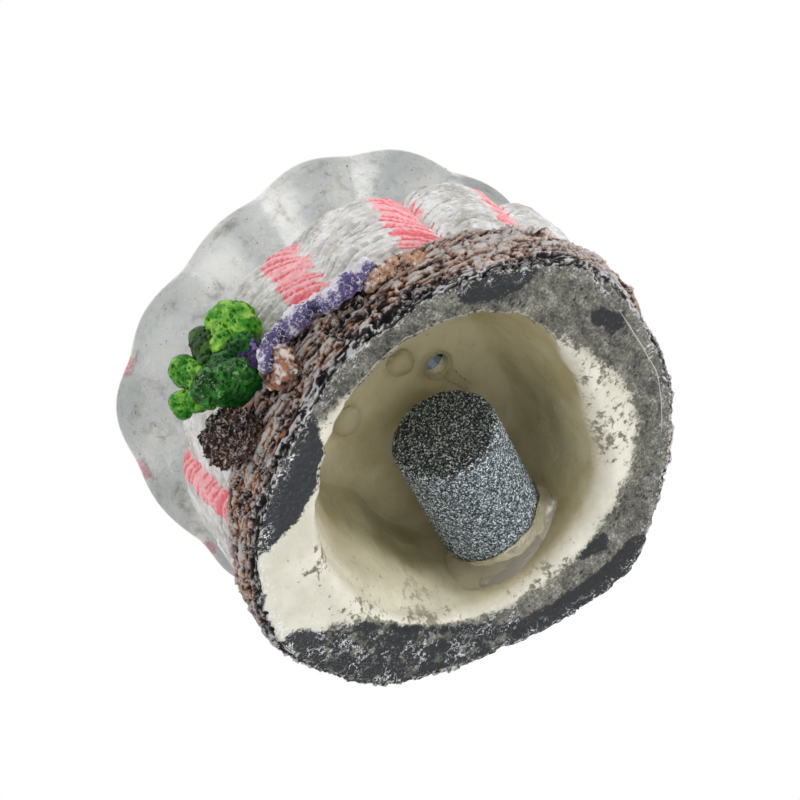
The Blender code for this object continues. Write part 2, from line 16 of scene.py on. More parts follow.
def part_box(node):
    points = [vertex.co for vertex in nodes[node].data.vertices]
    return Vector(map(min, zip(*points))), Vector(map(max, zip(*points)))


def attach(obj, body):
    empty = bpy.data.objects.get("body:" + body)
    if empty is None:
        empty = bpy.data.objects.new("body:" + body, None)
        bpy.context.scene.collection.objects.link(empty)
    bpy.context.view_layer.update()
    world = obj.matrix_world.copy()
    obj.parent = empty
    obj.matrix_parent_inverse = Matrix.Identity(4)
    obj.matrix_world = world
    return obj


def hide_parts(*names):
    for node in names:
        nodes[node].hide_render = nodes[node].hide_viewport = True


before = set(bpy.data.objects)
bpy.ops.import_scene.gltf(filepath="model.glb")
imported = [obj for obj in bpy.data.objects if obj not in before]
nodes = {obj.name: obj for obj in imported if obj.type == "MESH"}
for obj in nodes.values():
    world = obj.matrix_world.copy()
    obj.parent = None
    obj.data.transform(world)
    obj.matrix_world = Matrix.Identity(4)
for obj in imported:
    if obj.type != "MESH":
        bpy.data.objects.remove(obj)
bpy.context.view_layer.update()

MM = 0.001
TAU = 2 * math.pi

# The CAD's driving dimensions, in millimetres.
BASE_CENTRE = (-1.5, 5.5)
BASE_RADII = (
    45.0, 44.8, 44.5, 44.5, 45.5, 48.3, 45.0, 41.8, 40.6, 40.7, 42.3, 43.5,
    44.6, 45.8, 45.7, 46.0, 46.0, 46.3, 47.5, 47.7, 48.3, 48.6, 49.0, 47.3,
)
LEDGE_HEIGHT = 12.0
LEDGE_CLIMB = 9.5
LIP_WIDTH = 3.0
LIP_FRONT_EXTRA = 1.8
LIP_RISE = (2.0, 2.2, 2.5, 2.8, 3.0, 3.0, 2.8, 2.5, 2.2, 2.0, 1.8, 1.5, 1.2, 1.0, 1.0, 1.2, 1.5, 1.8)
MOUTH_CENTRE = (-1.0, 0.0)
MOUTH_RADII = (29.3, 29.8, 34.7, 35.2, 34.4, 31.9, 29.8, 30.2, 33.0, 36.4, 37.0, 34.2)
CEILING_SHARE = (0.80, 0.84, 0.86, 0.90, 0.93, 0.68, 0.75, 0.80, 0.80, 0.78, 0.80, 0.80)
CEILING_HEIGHT = 28.0
CORE_TOP = 31.0
VALVE_CENTRE = (1.0, 8.0)
VALVE_HALF_WIDTH = 46.0
VALVE_FRONT = 50.0
VALVE_BACK = 34.0
RIM_HEIGHT = 36.0
RIM_CLIMB = 1.6
VALVE_WALL = 3.6
UMBO_Y = 43.0
RIB_PITCH = math.radians(16.3)
RIB_DEPTH = 2.6
RIB_LIFT = 1.8
HINGE = (-1.5, 38.0, 38.4)
LID_ANGLE = math.radians(36.0)
LID_HALF_WIDTH = 48.0
LID_FULLNESS = {"left": 2.9, "right": 2.2}
LID_LENGTH = 72.0
LID_WIDEST = 27.0
LID_DOME = 16.5
LID_WALL = 3.0
STONE_FRONT = Vector((2.5, 0.0, 12.2))
STONE_LENGTH = 30.6
STONE_RADIUS = 10.7
STONE_HEADING = math.radians(10.0)
STONE_TILT = math.radians(6.0)
NIPPLE_LENGTH = 5.0
INLET_GAP = 1.2
BUBBLE_HOLE = (11.2, 1.5)
BUBBLE_HOLE_RADIUS = 2.6


def stone_axis():
    level = math.cos(STONE_TILT)
    return Vector((-level * math.sin(STONE_HEADING), level * math.cos(STONE_HEADING), math.sin(STONE_TILT)))


def find_shift():
    """From the plinth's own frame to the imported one, read off the air inlet, whose axis is known in both."""
    tip = STONE_FRONT + stone_axis() * (STONE_LENGTH + NIPPLE_LENGTH)
    low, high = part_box("air_inlet")
    start = Vector((tip.x, tip.y + INLET_GAP, tip.z))
    found = Vector(((low.x + high.x) / 2, low.y, (low.z + high.z) / 2)) / MM
    return np.array(found - start)


SHIFT = find_shift()


# ---------------------------------------------------------------- noise and curves

def flat(points):
    return np.asarray(points, float).reshape(-1, 3)


def fractal(points, scale, octaves, seed):
    """Fractal noise, about -1 to 1, at points in millimetres. scale is per millimetre, once or per axis."""
    p = (flat(points) * scale + (seed, -seed, 0.7 * seed)).tolist()
    out = np.array([noise.fractal(q, 1.0, 2.0, octaves) for q in p])
    return out.reshape(np.shape(points)[:-1])


def cells(points, scale, seed):
    """Distance to the nearest of a set of scattered points, in cell sizes."""
    p = (flat(points) * scale + (seed, seed, -seed)).tolist()
    out = np.array([noise.voronoi(q)[0][0] for q in p])
    return out.reshape(np.shape(points)[:-1])


def smooth(edge0, edge1, x):
    """0 below the first edge and 1 above the second, with a smooth step between."""
    t = np.clip((x - edge0) / (edge1 - edge0), 0, 1)
    return t * t * (3 - 2 * t)


def between(a, b, c, d, t):
    """The smooth curve through four values, from b at t = 0 to c at t = 1."""
    return 0.5 * (2 * b + (c - a) * t + (2 * a - 5 * b + 4 * c - d) * t**2 + (3 * b - a - 3 * c + d) * t**3)


def through_points(values, angles):
    """A smooth closed curve through values given at equal angles, read at the given angles."""
    given = np.array(values, float)
    at = np.mod(angles, TAU) * len(given) / TAU
    index = np.floor(at).astype(int)
    return between(*(given[(index + k) % len(given)] for k in (-1, 0, 1, 2)), at - index)


def spread(rings, counts):
    """Rows between the given rings: counts[i] of them from ring i to ring i+1, on a smooth curve."""
    last = len(rings) - 1
    rows = []
    for i, count in enumerate(counts):
        near = [rings[min(max(i + k, 0), last)] for k in (-1, 0, 1, 2)]
        rows += [between(*near, t) for t in np.arange(count) / count]
    rows.append(rings[-1])
    return np.array(rows)


def straight(rings, counts):
    """As spread, but in straight lines from ring to ring."""
    rows = []
    for i, count in enumerate(counts):
        rows += [rings[i] * (1 - t) + rings[i + 1] * t for t in np.arange(count) / count]
    rows.append(rings[-1])
    return np.array(rows)


def grid_normals(grid):
    """Unit normals of a grid of points that closes round its columns."""
    across = np.roll(grid, -1, axis=1) - np.roll(grid, 1, axis=1)
    along = np.gradient(grid, axis=0)
    normal = np.cross(across, along)
    return normal / np.maximum(np.linalg.norm(normal, axis=2, keepdims=True), 1e-9)


def outward_normals(grid, middle):
    """As grid_normals, but pointing away from a middle."""
    normal = grid_normals(grid)
    return normal * np.sign(((grid - middle) * normal).sum())


def polar(centre, radius, angles, height):
    x, y = centre[0] + radius * np.cos(angles), centre[1] + radius * np.sin(angles)
    return np.stack(np.broadcast_arrays(x, y, height), axis=-1)


# ---------------------------------------------------------------- meshes

def place(points):
    """From the plinth's own frame, in millimetres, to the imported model's, in metres."""
    return (flat(points) + SHIFT) * MM


def add_object(name, data):
    item = bpy.data.objects.new(name, data)
    bpy.context.scene.collection.objects.link(item)
    return item


def store(mesh, fields):
    """Puts number fields on the vertices of a mesh, for its material to read."""
    for key, values in fields.items():
        layer = mesh.attributes.new(key, "FLOAT", "POINT")
        layer.data.foreach_set("value", np.asarray(values, np.float32).ravel())


def skin(name, grid, fields, poles=False):
    """An object with faces over a grid of points whose rows close on themselves, facing outwards. The last
    row joins the first one, or, with poles, each end closes at a point.
    """
    rows, cols = grid.shape[:2]
    points = flat(grid)
    k = np.arange(cols)
    after = (k + 1) % cols
    faces = []
    for row in range(rows - 1 if poles else rows):
        here = row * cols
        above = ((row + 1) % rows) * cols
        faces.append(np.stack([here + k, here + after, above + after, above + k], axis=1))
    if poles:
        tip = np.full(cols, len(points))
        last = (rows - 1) * cols
        points = np.concatenate([points, [grid[0].mean(axis=0), grid[-1].mean(axis=0)]])
        faces.append(np.stack([after, k, tip, tip], axis=1))
        faces.append(np.stack([last + k, last + after, tip + 1, tip + 1], axis=1))
        fields = {key: [*np.ravel(v), np.mean(v[0]), np.mean(v[-1])] for key, v in fields.items()}
    faces = np.concatenate(faces)
    at = place(points)
    first, second, third, fourth = (at[faces[:, corner]] for corner in range(4))
    volume = np.einsum("ij,ij->i", first, np.cross(second, third)).sum()
    volume += np.einsum("ij,ij->i", first, np.cross(third, fourth)).sum()
    if volume < 0:
        faces = faces[:, ::-1]
    mesh = bpy.data.meshes.new(name)
    mesh.from_pydata(at.tolist(), [], faces.tolist())
    store(mesh, fields)
    if poles:
        shape = bmesh.new()
        shape.from_mesh(mesh)
        bmesh.ops.dissolve_degenerate(shape, edges=shape.edges, dist=1e-9)
        shape.to_mesh(mesh)
        shape.free()
    mesh.shade_smooth()
    return add_object(name, mesh)


def show(item, look, slot, *replaced):
    """Finishes one visible piece: its material, the body it rides, and the CAD nodes it stands for."""
    item.data.materials.clear()
    for each in look if isinstance(look, tuple) else [look]:
        item.data.materials.append(each)
    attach(item, "root")
    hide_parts(*replaced)
    return item


def evaluated_copy(item, name):
    """The mesh that an object's modifiers make, as a new plain object. The old one goes."""
    graph = bpy.context.evaluated_depsgraph_get()
    mesh = bpy.data.meshes.new_from_object(item.evaluated_get(graph))
    bpy.data.objects.remove(item, do_unlink=True)
    mesh.name = name
    return add_object(name, mesh)


def read(mesh, key):
    """A vector for each vertex of a mesh: where it is ("co") or its normal ("normal")."""
    out = np.empty(len(mesh.vertices) * 3, np.float32)
    mesh.vertices.foreach_get(key, out)
    return out.reshape(-1, 3).astype(float)


def drop_crumbs(mesh):
    """Keeps only the largest connected part of a mesh."""
    shape = bmesh.new()
    shape.from_mesh(mesh)
    seen, parts = set(), []
    for start in shape.verts:
        if start in seen:
            continue
        seen.add(start)
        part, ahead = [], [start]
        while ahead:
            vert = ahead.pop()
            part.append(vert)
            fresh = [v for v in (edge.other_vert(vert) for edge in vert.link_edges) if v not in seen]
            seen.update(fresh)
            ahead.extend(fresh)
        parts.append(part)
    parts.sort(key=len)
    bmesh.ops.delete(shape, geom=[v for part in parts[:-1] for v in part], context="VERTS")
    shape.to_mesh(mesh)
    shape.free()


def organic(name, sources, balls, voxel, melt, relief, tone=None):
    """One flowing body from CAD nodes and extra balls: fused on a fine grid, melted smooth, given relief.

    balls are (centre, radius) or (centre, (rx, ry, rz)). relief(points, normals) moves the points, in
    millimetres, and tone(points) gives the number field that the material reads as relief.
    """
    shell = bmesh.new()
    for source in sources:
        shell.from_mesh(nodes[source].data)
    for centre, radius in balls:
        sizes = (radius,) * 3 if np.isscalar(radius) else radius
        at = Vector((np.array(centre) + SHIFT) * MM)
        shape = Matrix.Translation(at) @ Matrix.Diagonal((*[s * MM for s in sizes], 1.0))
        bmesh.ops.create_icosphere(shell, subdivisions=3, radius=1.0, matrix=shape)
    mesh = bpy.data.meshes.new(name)
    shell.to_mesh(mesh)
    shell.free()
    item = add_object(name, mesh)
    remesh = item.modifiers.new("fuse", "REMESH")
    remesh.mode = "VOXEL"
    remesh.voxel_size = voxel * MM
    melted = item.modifiers.new("melt", "SMOOTH")
    melted.iterations = melt
    item = evaluated_copy(item, name)
    mesh = item.data
    drop_crumbs(mesh)
    points = relief(read(mesh, "co") / MM - SHIFT, read(mesh, "normal"))
    mesh.vertices.foreach_set("co", place(points).astype(np.float32).ravel())
    mesh.update()
    if tone:
        store(mesh, {"relief": tone(points)})
    mesh.shade_smooth()
    return item


# ---------------------------------------------------------------- materials

def rgb(red, green, blue):
    """A paint colour given in 0 to 255 display values, as the shader wants it."""
    out = []
    for v in (red, green, blue):
        v = v / 255
        out.append(v / 12.92 if v <= 0.04045 else ((v + 0.055) / 1.055) ** 2.4)
    return (*out, 1.0)


def paler(paint, amount):
    return rgb(*[min(255, c + amount) for c in paint])


class Look:
    """A procedural material, put together node by node. Lengths are in millimetres."""

    def __init__(self, name, roughness=0.5, specular=0.5, coat=0.0, coat_roughness=0.1):
        self.made = bpy.data.materials.new(name)
        self.made.use_nodes = True
        self.tree = self.made.node_tree
        self.shader = self.tree.nodes["Principled BSDF"]
        self.shader.inputs["Roughness"].default_value = roughness
        self.shader.inputs["Specular IOR Level"].default_value = specular
        self.shader.inputs["Coat Weight"].default_value = coat
        self.shader.inputs["Coat Roughness"].default_value = coat_roughness
        where = self.tree.nodes.new("ShaderNodeTexCoord")
        self.at = self.stretch(where.outputs["Object"], (1000, 1000, 1000))

    def link(self, value, socket):
        """Puts a value on a socket: another node's output, or a constant."""
        if isinstance(value, bpy.types.NodeSocket):
            self.tree.links.new(value, socket)
        else:
            socket.default_value = value

    def stretch(self, vector, scale):
        made = self.tree.nodes.new("ShaderNodeVectorMath")
        made.operation = "MULTIPLY"
        self.link(vector, made.inputs[0])
        made.inputs[1].default_value = scale
        return made.outputs[0]

    def field(self, name):
        """A number field stored on the mesh."""
        made = self.tree.nodes.new("ShaderNodeAttribute")
        made.attribute_name = name
        return made.outputs["Fac"]

    def joined(self, *names):
        """A vector out of three fields."""
        made = self.tree.nodes.new("ShaderNodeCombineXYZ")
        for name, socket in zip(names, made.inputs):
            self.link(self.field(name), socket)
        return made.outputs[0]

    def noise(self, scale, detail=3, rough=0.55, vector=None, out="Fac"):
        made = self.tree.nodes.new("ShaderNodeTexNoise")
        self.link(vector or self.at, made.inputs["Vector"])
        made.inputs["Scale"].default_value = scale
        made.inputs["Detail"].default_value = detail
        made.inputs["Roughness"].default_value = rough
        return made.outputs[out]

    def cells(self, scale, out="Distance", vector=None):
        made = self.tree.nodes.new("ShaderNodeTexVoronoi")
        self.link(vector or self.at, made.inputs["Vector"])
        made.inputs["Scale"].default_value = scale
        return made.outputs[out]

    def warp(self, scale, amount, vector=None):
        """The position pushed about by noise, by up to that many millimetres."""
        made = self.tree.nodes.new("ShaderNodeVectorMath")
        made.operation = "MULTIPLY_ADD"
        self.link(self.noise(scale, 2, out="Color"), made.inputs[0])
        made.inputs[1].default_value = (amount,) * 3
        self.link(vector or self.at, made.inputs[2])
        return made.outputs[0]

    def calc(self, operation, a, b=0.0):
        made = self.tree.nodes.new("ShaderNodeMath")
        made.operation = operation
        self.link(a, made.inputs[0])
        self.link(b, made.inputs[1])
        return made.outputs[0]

    def times(self, first, *others):
        for other in others:
            first = self.calc("MULTIPLY", first, other)
        return first

    def plus(self, first, *others):
        for other in others:
            first = self.calc("ADD", first, other)
        return first

    def minus(self, first, other):
        return self.calc("SUBTRACT", first, other)

    def band(self, value, low, high):
        """0 below low and 1 above high, with a smooth step between; high may be the smaller."""
        made = self.tree.nodes.new("ShaderNodeMapRange")
        made.interpolation_type = "SMOOTHSTEP"
        self.link(value, made.inputs["Value"])
        made.inputs["From Min"].default_value = low
        made.inputs["From Max"].default_value = high
        return made.outputs["Result"]

    def ramp(self, value, stops):
        """Colours at places from 0 to 1, each a paint of three display values."""
        made = self.tree.nodes.new("ShaderNodeValToRGB")
        self.link(value, made.inputs["Fac"])
        ramp = made.color_ramp
        while len(ramp.elements) < len(stops):
            ramp.elements.new(0.5)
        for element, (spot, paint) in zip(ramp.elements, stops):
            element.position = spot
            element.color = rgb(*paint)
        return made.outputs["Color"]

    def mix(self, share, a, b):
        made = self.tree.nodes.new("ShaderNodeMix")
        made.data_type = "RGBA"
        self.link(share, made.inputs[0])
        self.link(a, made.inputs[6])
        self.link(b, made.inputs[7])
        return made.outputs[2]

    def over(self, below, paint, *shares):
        """A paint laid over what is below it, as thickly as the product of the shares says."""
        return self.mix(self.times(*shares), below, rgb(*paint))

    def colour(self, value):
        self.link(value, self.shader.inputs["Base Color"])

    def bump(self, *layers):
        """Layers of (height, depth in millimetres) put on top of one another."""
        normal = None
        for height, depth in layers:
            made = self.tree.nodes.new("ShaderNodeBump")
            made.inputs["Distance"].default_value = depth * MM
            self.link(height, made.inputs["Height"])
            if normal is not None:
                self.link(normal, made.inputs["Normal"])
            normal = made.outputs["Normal"]
        self.link(normal, self.shader.inputs["Normal"])


def threads(look, scale, width):
    """Thin curling strands: the places where a noise crosses its middle."""
    value = look.noise(scale, 2, 0.5, look.warp(scale * 1.7, 1.2 / scale))
    off = look.calc("ABSOLUTE", look.minus(value, 0.5))
    return look.band(off, width, width * 0.35)


def rock_side_look():
    """Broken rock, painted brown, rust and charcoal, black in its gaps and dry-brushed white on its edges."""
    look = Look("painted_rock", roughness=0.58, specular=0.4)
    bent = look.warp(0.6, 1.1)
    flow = look.warp(0.25, 0.25, look.joined("flow_x", "flow_y", "flow_z"))
    grain = look.noise(2.4, 6, 0.75, flow)
    fine = look.noise(2.6, 5, 0.78, bent)
    height = look.plus(look.times(look.field("relief"), 0.80), look.times(grain, 0.95))
    height = look.minus(look.plus(height, look.times(fine, 0.60)), 0.73)
    brown = look.ramp(height, (
        (0.16, (8, 7, 8)), (0.29, (34, 25, 23)), (0.38, (104, 74, 62)), (0.50, (160, 124, 108)),
        (0.61, (186, 156, 142)), (0.72, (228, 212, 204)), (0.80, (252, 249, 248)),
    ))
    rust = look.ramp(height, (
        (0.16, (10, 7, 6)), (0.29, (54, 30, 20)), (0.39, (158, 94, 60)), (0.52, (212, 146, 106)),
        (0.64, (232, 196, 172)), (0.78, (252, 246, 242)),
    ))
    coal = look.ramp(height, (
        (0.20, (5, 5, 6)), (0.46, (22, 23, 26)), (0.60, (46, 46, 50)), (0.70, (118, 116, 116)),
        (0.78, (248, 248, 250)),
    ))
    paint = look.mix(look.band(look.noise(0.17, 4, 0.6, bent), 0.44, 0.52), brown, rust)
    dark = look.plus(look.field("dark"), look.noise(0.9, 5, 0.65, flow))
    paint = look.mix(look.band(dark, 0.88, 0.98), paint, coal)
    brushed = look.times(look.field("crest"), look.band(fine, 0.44, 0.52))
    wisps = look.calc("ABSOLUTE", look.minus(look.noise(1.6, 3, 0.6, flow), 0.5))
    wisps = look.times(look.band(wisps, 0.022, 0.008), look.band(look.noise(0.7, 3), 0.44, 0.54))
    paint = look.over(paint, (250, 243, 240), look.calc("MAXIMUM", brushed, wisps), 0.9)
    look.colour(paint)
    look.bump((grain, 1.1), (fine, 0.9))
    return look.made


def stained_resin(look, deep):
    """Cream resin, yellower and smudged where it is deep in the hollow, with dirt specks on the base face."""
    stain = look.noise(0.10, 4, 0.6)
    resin = look.mix(look.band(stain, 0.35, 0.65), rgb(221, 218, 204), rgb(205, 201, 185))
    hollow = look.mix(look.band(look.noise(0.07, 3), 0.4, 0.7), rgb(190, 182, 148), rgb(172, 162, 122))
    resin = look.mix(deep, resin, hollow)
    smudge = look.band(look.noise(0.5, 4, 0.65, look.stretch(look.at, (1, 1, 0.4))), 0.60, 0.76)
    resin = look.over(resin, (142, 124, 84), smudge, look.times(deep, 0.40))
    drips = look.times(deep, look.band(look.noise(0.14, 2), 0.5, 0.6))
    resin = look.over(resin, (128, 108, 66), threads(look, 0.12, 0.012), drips, 0.15)
    speckle = look.noise(0.62, 6, 0.68, look.warp(0.5, 1.2))
    speckle = look.plus(speckle, look.times(look.field("specks"), 0.19))
    speckle = look.times(look.band(speckle, 0.64, 0.74), look.minus(1.0, deep))
    return stain, look.over(resin, (98, 91, 68), speckle, 0.90)


def underside_look():
    """Flat base face and cavity: cream resin, with charcoal paint and a grey wash towards the edge."""
    look = Look("cast_underside", roughness=0.5, specular=0.4)
    inset, deep, mottle = look.field("inset"), look.field("deep"), look.field("mottle")
    ragged = look.minus(look.noise(0.42, 7, 0.75, look.warp(0.15, 4.0)), 0.5)
    crumbs = look.minus(look.noise(1.3, 5, 0.8), 0.5)
    black = look.plus(look.field("black"), look.times(ragged, 1.7), 0.15, look.times(crumbs, 0.9))
    grey = look.plus(look.field("grey"), look.times(ragged, 4.4), look.times(crumbs, 2.6))
    stain, paint = stained_resin(look, deep)

    # The wash is grey, in swept clouds. The charcoal is nearly flat, and mottled with the wash on one side.
    swept = look.stretch(look.warp(0.3, 2.0), (1.0, 0.45, 1.0))
    clouds = look.times(look.noise(0.40, 6, 0.75, swept), 0.60)
    clouds = look.plus(clouds, look.times(look.noise(1.6, 8, 0.92), 0.95))
    wash = look.ramp(look.minus(clouds, 0.215), (
        (0.42, (20, 21, 23)), (0.48, (66, 67, 63)), (0.54, (104, 102, 94)), (0.62, (136, 134, 122)),
        (0.70, (206, 204, 194)),
    ))
    paint = look.mix(look.band(grey, -0.25, 0.45), paint, wash)
    coal = look.ramp(look.noise(1.2, 6, 0.75), (
        (0.35, (20, 23, 26)), (0.58, (38, 42, 47)), (0.72, (84, 90, 92)), (0.80, (176, 182, 184)),
    ))
    olive = look.band(look.noise(0.36, 5, 0.7, look.warp(0.4, 2.0)), 0.52, 0.60)
    coal = look.mix(look.times(olive, mottle), coal, wash)
    paint = look.mix(look.band(black, -0.10, 0.16), paint, coal)

    # Pits and chalk on the wash.
    washed = look.band(grey, 0.0, 0.8)
    craters = look.band(look.cells(0.55, vector=look.warp(0.9, 0.9)), 0.27, 0.19)
    craters = look.times(craters, look.band(look.noise(0.22, 3), 0.44, 0.54))
    grit = look.band(look.noise(2.4, 4, 0.8), 0.58, 0.62)
    paint = look.over(paint, (34, 34, 30), look.calc("MAXIMUM", craters, grit), washed, 0.85)
    chalk = look.band(look.noise(1.1, 6, 0.85), 0.60, 0.66)
    paint = look.over(paint, (206, 204, 194), chalk, washed, 0.6)

    # White hairs and flecks by the outer edge, a scored line beside it, and paint worn off both edges.
    edge = look.calc("MAXIMUM", look.band(inset, 3.6, 1.2), look.times(mottle, look.band(inset, 13, 7)))
    hairs = look.times(threads(look, 0.60, 0.028), look.band(look.noise(0.22, 4), 0.48, 0.56))
    paint = look.over(paint, (238, 243, 246), hairs, edge, 0.95)
    flecks = look.times(look.band(look.noise(2.6, 5, 0.8), 0.58, 0.64), edge)
    paint = look.over(paint, (220, 225, 227), flecks, look.band(look.noise(0.25, 3), 0.40, 0.54), 0.95)
    wander = look.plus(1.2, look.times(look.noise(0.05, 2), 2.4))
    scored = look.band(look.calc("ABSOLUTE", look.minus(inset, wander)), 0.14, 0.05)
    paint = look.over(paint, (222, 220, 212), scored, look.field("scored"), 0.8)
    worn = look.band(look.noise(0.8, 5, 0.75), 0.50, 0.58)
    paint = look.over(paint, (228, 222, 214), look.band(inset, 0.9, 0.2), worn, 0.8)
    rim = look.times(look.band(look.calc("ABSOLUTE", look.field("lip")), 0.45, 0.20), look.field("crisp"))
    paint = look.over(paint, (226, 221, 204), rim, look.band(look.noise(0.9, 4, 0.7), 0.40, 0.54), 0.8)
    look.colour(paint)
    dull = look.plus(0.38, look.times(look.band(grey, -0.5, 0.3), 0.22))
    look.link(dull, look.shader.inputs["Roughness"])
    crust = look.times(crumbs, look.band(look.field("grey"), -0.5, 0.5))
    look.bump((stain, 0.8), (look.noise(1.1, 4), 0.12), (crust, 0.7), (look.noise(5.0, 3), 0.03))
    return look.made


def shell_look(name, deep, mid, light, painted_light=0.0):
    """Off-white clam shell between three paints. The last argument leans them towards a brighter, warmer
    white: painted light, used on the lid.
    """
    look = Look(name, roughness=0.36, specular=0.5)
    growth, pink = look.field("growth"), look.field("pink")
    mottled = look.noise(0.15, 5, 0.62)
    paint = look.ramp(mottled, ((0.30, deep), (0.45, mid), (0.60, light)))
    # Painted light: the paints pushed towards a brighter, warmer white.
    if painted_light:
        paint = look.mix(painted_light, paint, rgb(255, 249, 242))
    streak = look.noise(1.0, 4, 0.65, look.stretch(look.at, (0.5, 0.5, 1.6)))
    paint = look.over(paint, (249, 248, 247), look.band(streak, 0.50, 0.64), 0.6)
    # Darker grey in the growth grooves: painted shade in the grooves.
    painted_groove_shade = look.times(look.band(growth, 0.60, 0.12), look.band(look.noise(0.5, 4, 0.65), 0.34, 0.54))
    paint = look.over(paint, (128, 128, 118), painted_groove_shade, 0.72)
    # Brownish-grey clouds, as heavy as the stain field says: dirt, and on the lower valve's left also painted
    # shade.
    dirt_and_shade = look.band(look.noise(0.17, 6, 0.72, look.warp(0.2, 3)), 0.50, 0.70)
    paint = look.over(paint, (172, 161, 144), dirt_and_shade, look.field("stain"))
    paint = look.over(paint, (118, 92, 72), look.band(look.noise(1.1, 3, 0.5), 0.70, 0.73), 0.75)
    brushed = look.plus(pink, look.times(look.minus(look.noise(0.9, 5, 0.7), 0.5), 1.1))
    brushed = look.minus(brushed, look.times(look.band(growth, 0.70, 1.0), 0.26))
    rose = look.ramp(look.plus(look.times(look.noise(1.3, 4, 0.7), 0.7), look.times(growth, 0.3)), (
        (0.34, (214, 66, 80)), (0.50, (236, 118, 128)), (0.66, (244, 180, 184)),
    ))
    look.colour(look.mix(look.band(brushed, 0.34, 0.70), paint, rose))
    waves, grain = look.noise(0.55, 5, 0.65), look.noise(3.5, 4, 0.7)
    look.bump((mottled, 1.0), (waves, 0.55), (streak, 0.20), (grain, 0.10))
    return look.made


def stone_look():
    """Sintered grit: each grain its own grey, a few nearly white. Its front face is painted darker, as painted
    shade.
    """
    look = Look("mineral_grit", roughness=0.85, specular=0.35)
    where = look.warp(1.9, 0.25)
    tone = look.times(look.cells(3.8, "Color", where), 0.80)
    tone = look.minus(look.plus(tone, look.times(look.noise(2.2, 4, 0.75), 0.50)), 0.14)
    dry = look.ramp(tone, (
        (0.12, (16, 19, 20)), (0.34, (42, 47, 49)), (0.50, (78, 87, 91)), (0.64, (130, 142, 147)),
        (0.80, (228, 237, 241)),
    ))
    # The darker ramp for the front face is painted shade, not a different grit.
    painted_shade = look.ramp(tone, (
        (0.12, (10, 12, 13)), (0.36, (25, 28, 30)), (0.52, (52, 58, 61)), (0.66, (100, 109, 112)),
        (0.82, (210, 219, 221)),
    ))
    look.colour(look.mix(look.field("front"), dry, painted_shade))
    look.bump((look.cells(3.8, vector=where), 0.20), (look.noise(5.0, 3), 0.12))
    return look.made


def clear_look(name, colour, roughness, transmission):
    """Cloudy glue or plastic that lets light through."""
    look = Look(name, roughness=roughness, specular=0.5, coat=0.3)
    look.shader.inputs["Transmission Weight"].default_value = transmission
    look.shader.inputs["IOR"].default_value = 1.2
    look.colour(look.mix(look.noise(0.5, 3), rgb(*colour), paler(colour, 22)))
    look.bump((look.noise(0.6, 3), 0.2))
    return look.made


def coral_look(name, deep, mid, light, glaze=0.0, tint=None):
    """Glossy green enamel, nearly black-green in its pits. glaze is how far threads of the tint cover it."""
    look = Look(name, roughness=0.30, specular=0.16, coat=0.10, coat_roughness=0.05)
    mottled = look.noise(0.9, 6, 0.7)
    height = look.minus(look.plus(look.times(look.field("relief"), 0.72), look.times(mottled, 0.55)), 0.07)
    paint = look.ramp(height, ((0.34, deep), (0.64, mid), (0.80, mid), (1.0, light)))
    if glaze:
        wisps = look.times(threads(look, 0.75, 0.020), look.band(look.noise(0.6, 3), 0.42, 0.54))
        paint = look.over(paint, tint, wisps, glaze)
    look.colour(paint)
    look.bump((mottled, 0.9), (look.noise(3.0, 3), 0.10))
    return look.made


def brushed_look(name, deep, mid, light, rust=None, web=0.0, fine=1.9, roughness=0.6):
    """Dark in the hollows, a colour between, and dry-brushed pale on the high spots. rust is a second colour
    for patches between, and web adds pale threads.
    """
    look = Look(name, roughness=roughness, specular=0.35)
    grain = look.noise(fine, 6, 0.75, look.warp(0.8, 0.8))
    height = look.minus(look.plus(look.times(look.field("relief"), 0.65), look.times(grain, 0.85)), 0.20)

    def brushed(tint):
        return look.ramp(height, ((0.30, deep), (0.46, tint), (0.60, tint), (0.74, light)))

    paint = brushed(mid)
    if rust:
        paint = look.mix(look.band(look.noise(0.35, 3), 0.46, 0.56), paint, brushed(rust))
    if web:
        lines = look.times(threads(look, 0.8, 0.030), look.band(look.noise(0.5, 3), 0.38, 0.48))
        paint = look.over(paint, light, lines, web)
    look.colour(paint)
    look.bump((grain, 0.6))
    return look.made


def mantle_look():
    """Blue clam flesh, paler on its ruffles and dotted dark."""
    look = Look("clam_flesh", roughness=0.35, specular=0.5, coat=0.25)
    spots = look.cells(0.32, vector=look.warp(0.3, 1.5))
    paint = look.ramp(look.plus(look.field("relief"), look.times(look.noise(0.5, 4), 0.25)), (
        (0.15, (16, 66, 96)), (0.45, (30, 108, 152)), (0.75, (70, 156, 190)), (0.98, (154, 210, 214)),
    ))
    look.colour(look.over(paint, (20, 42, 74), look.band(spots, 0.32, 0.22), 0.7))
    look.bump((look.noise(0.9, 4), 0.35), (look.noise(4.0, 3), 0.06))
    return look.made


def plastic_look(name, colour, roughness):
    """Moulded plastic, its colour and surface drifting a little."""
    look = Look(name, roughness=roughness, specular=0.5)
    look.colour(look.mix(look.noise(0.5, 3), rgb(*colour), paler(colour, 14)))
    look.bump((look.noise(1.4, 3), 0.03))
    return look.made


# ---------------------------------------------------------------- rock plinth

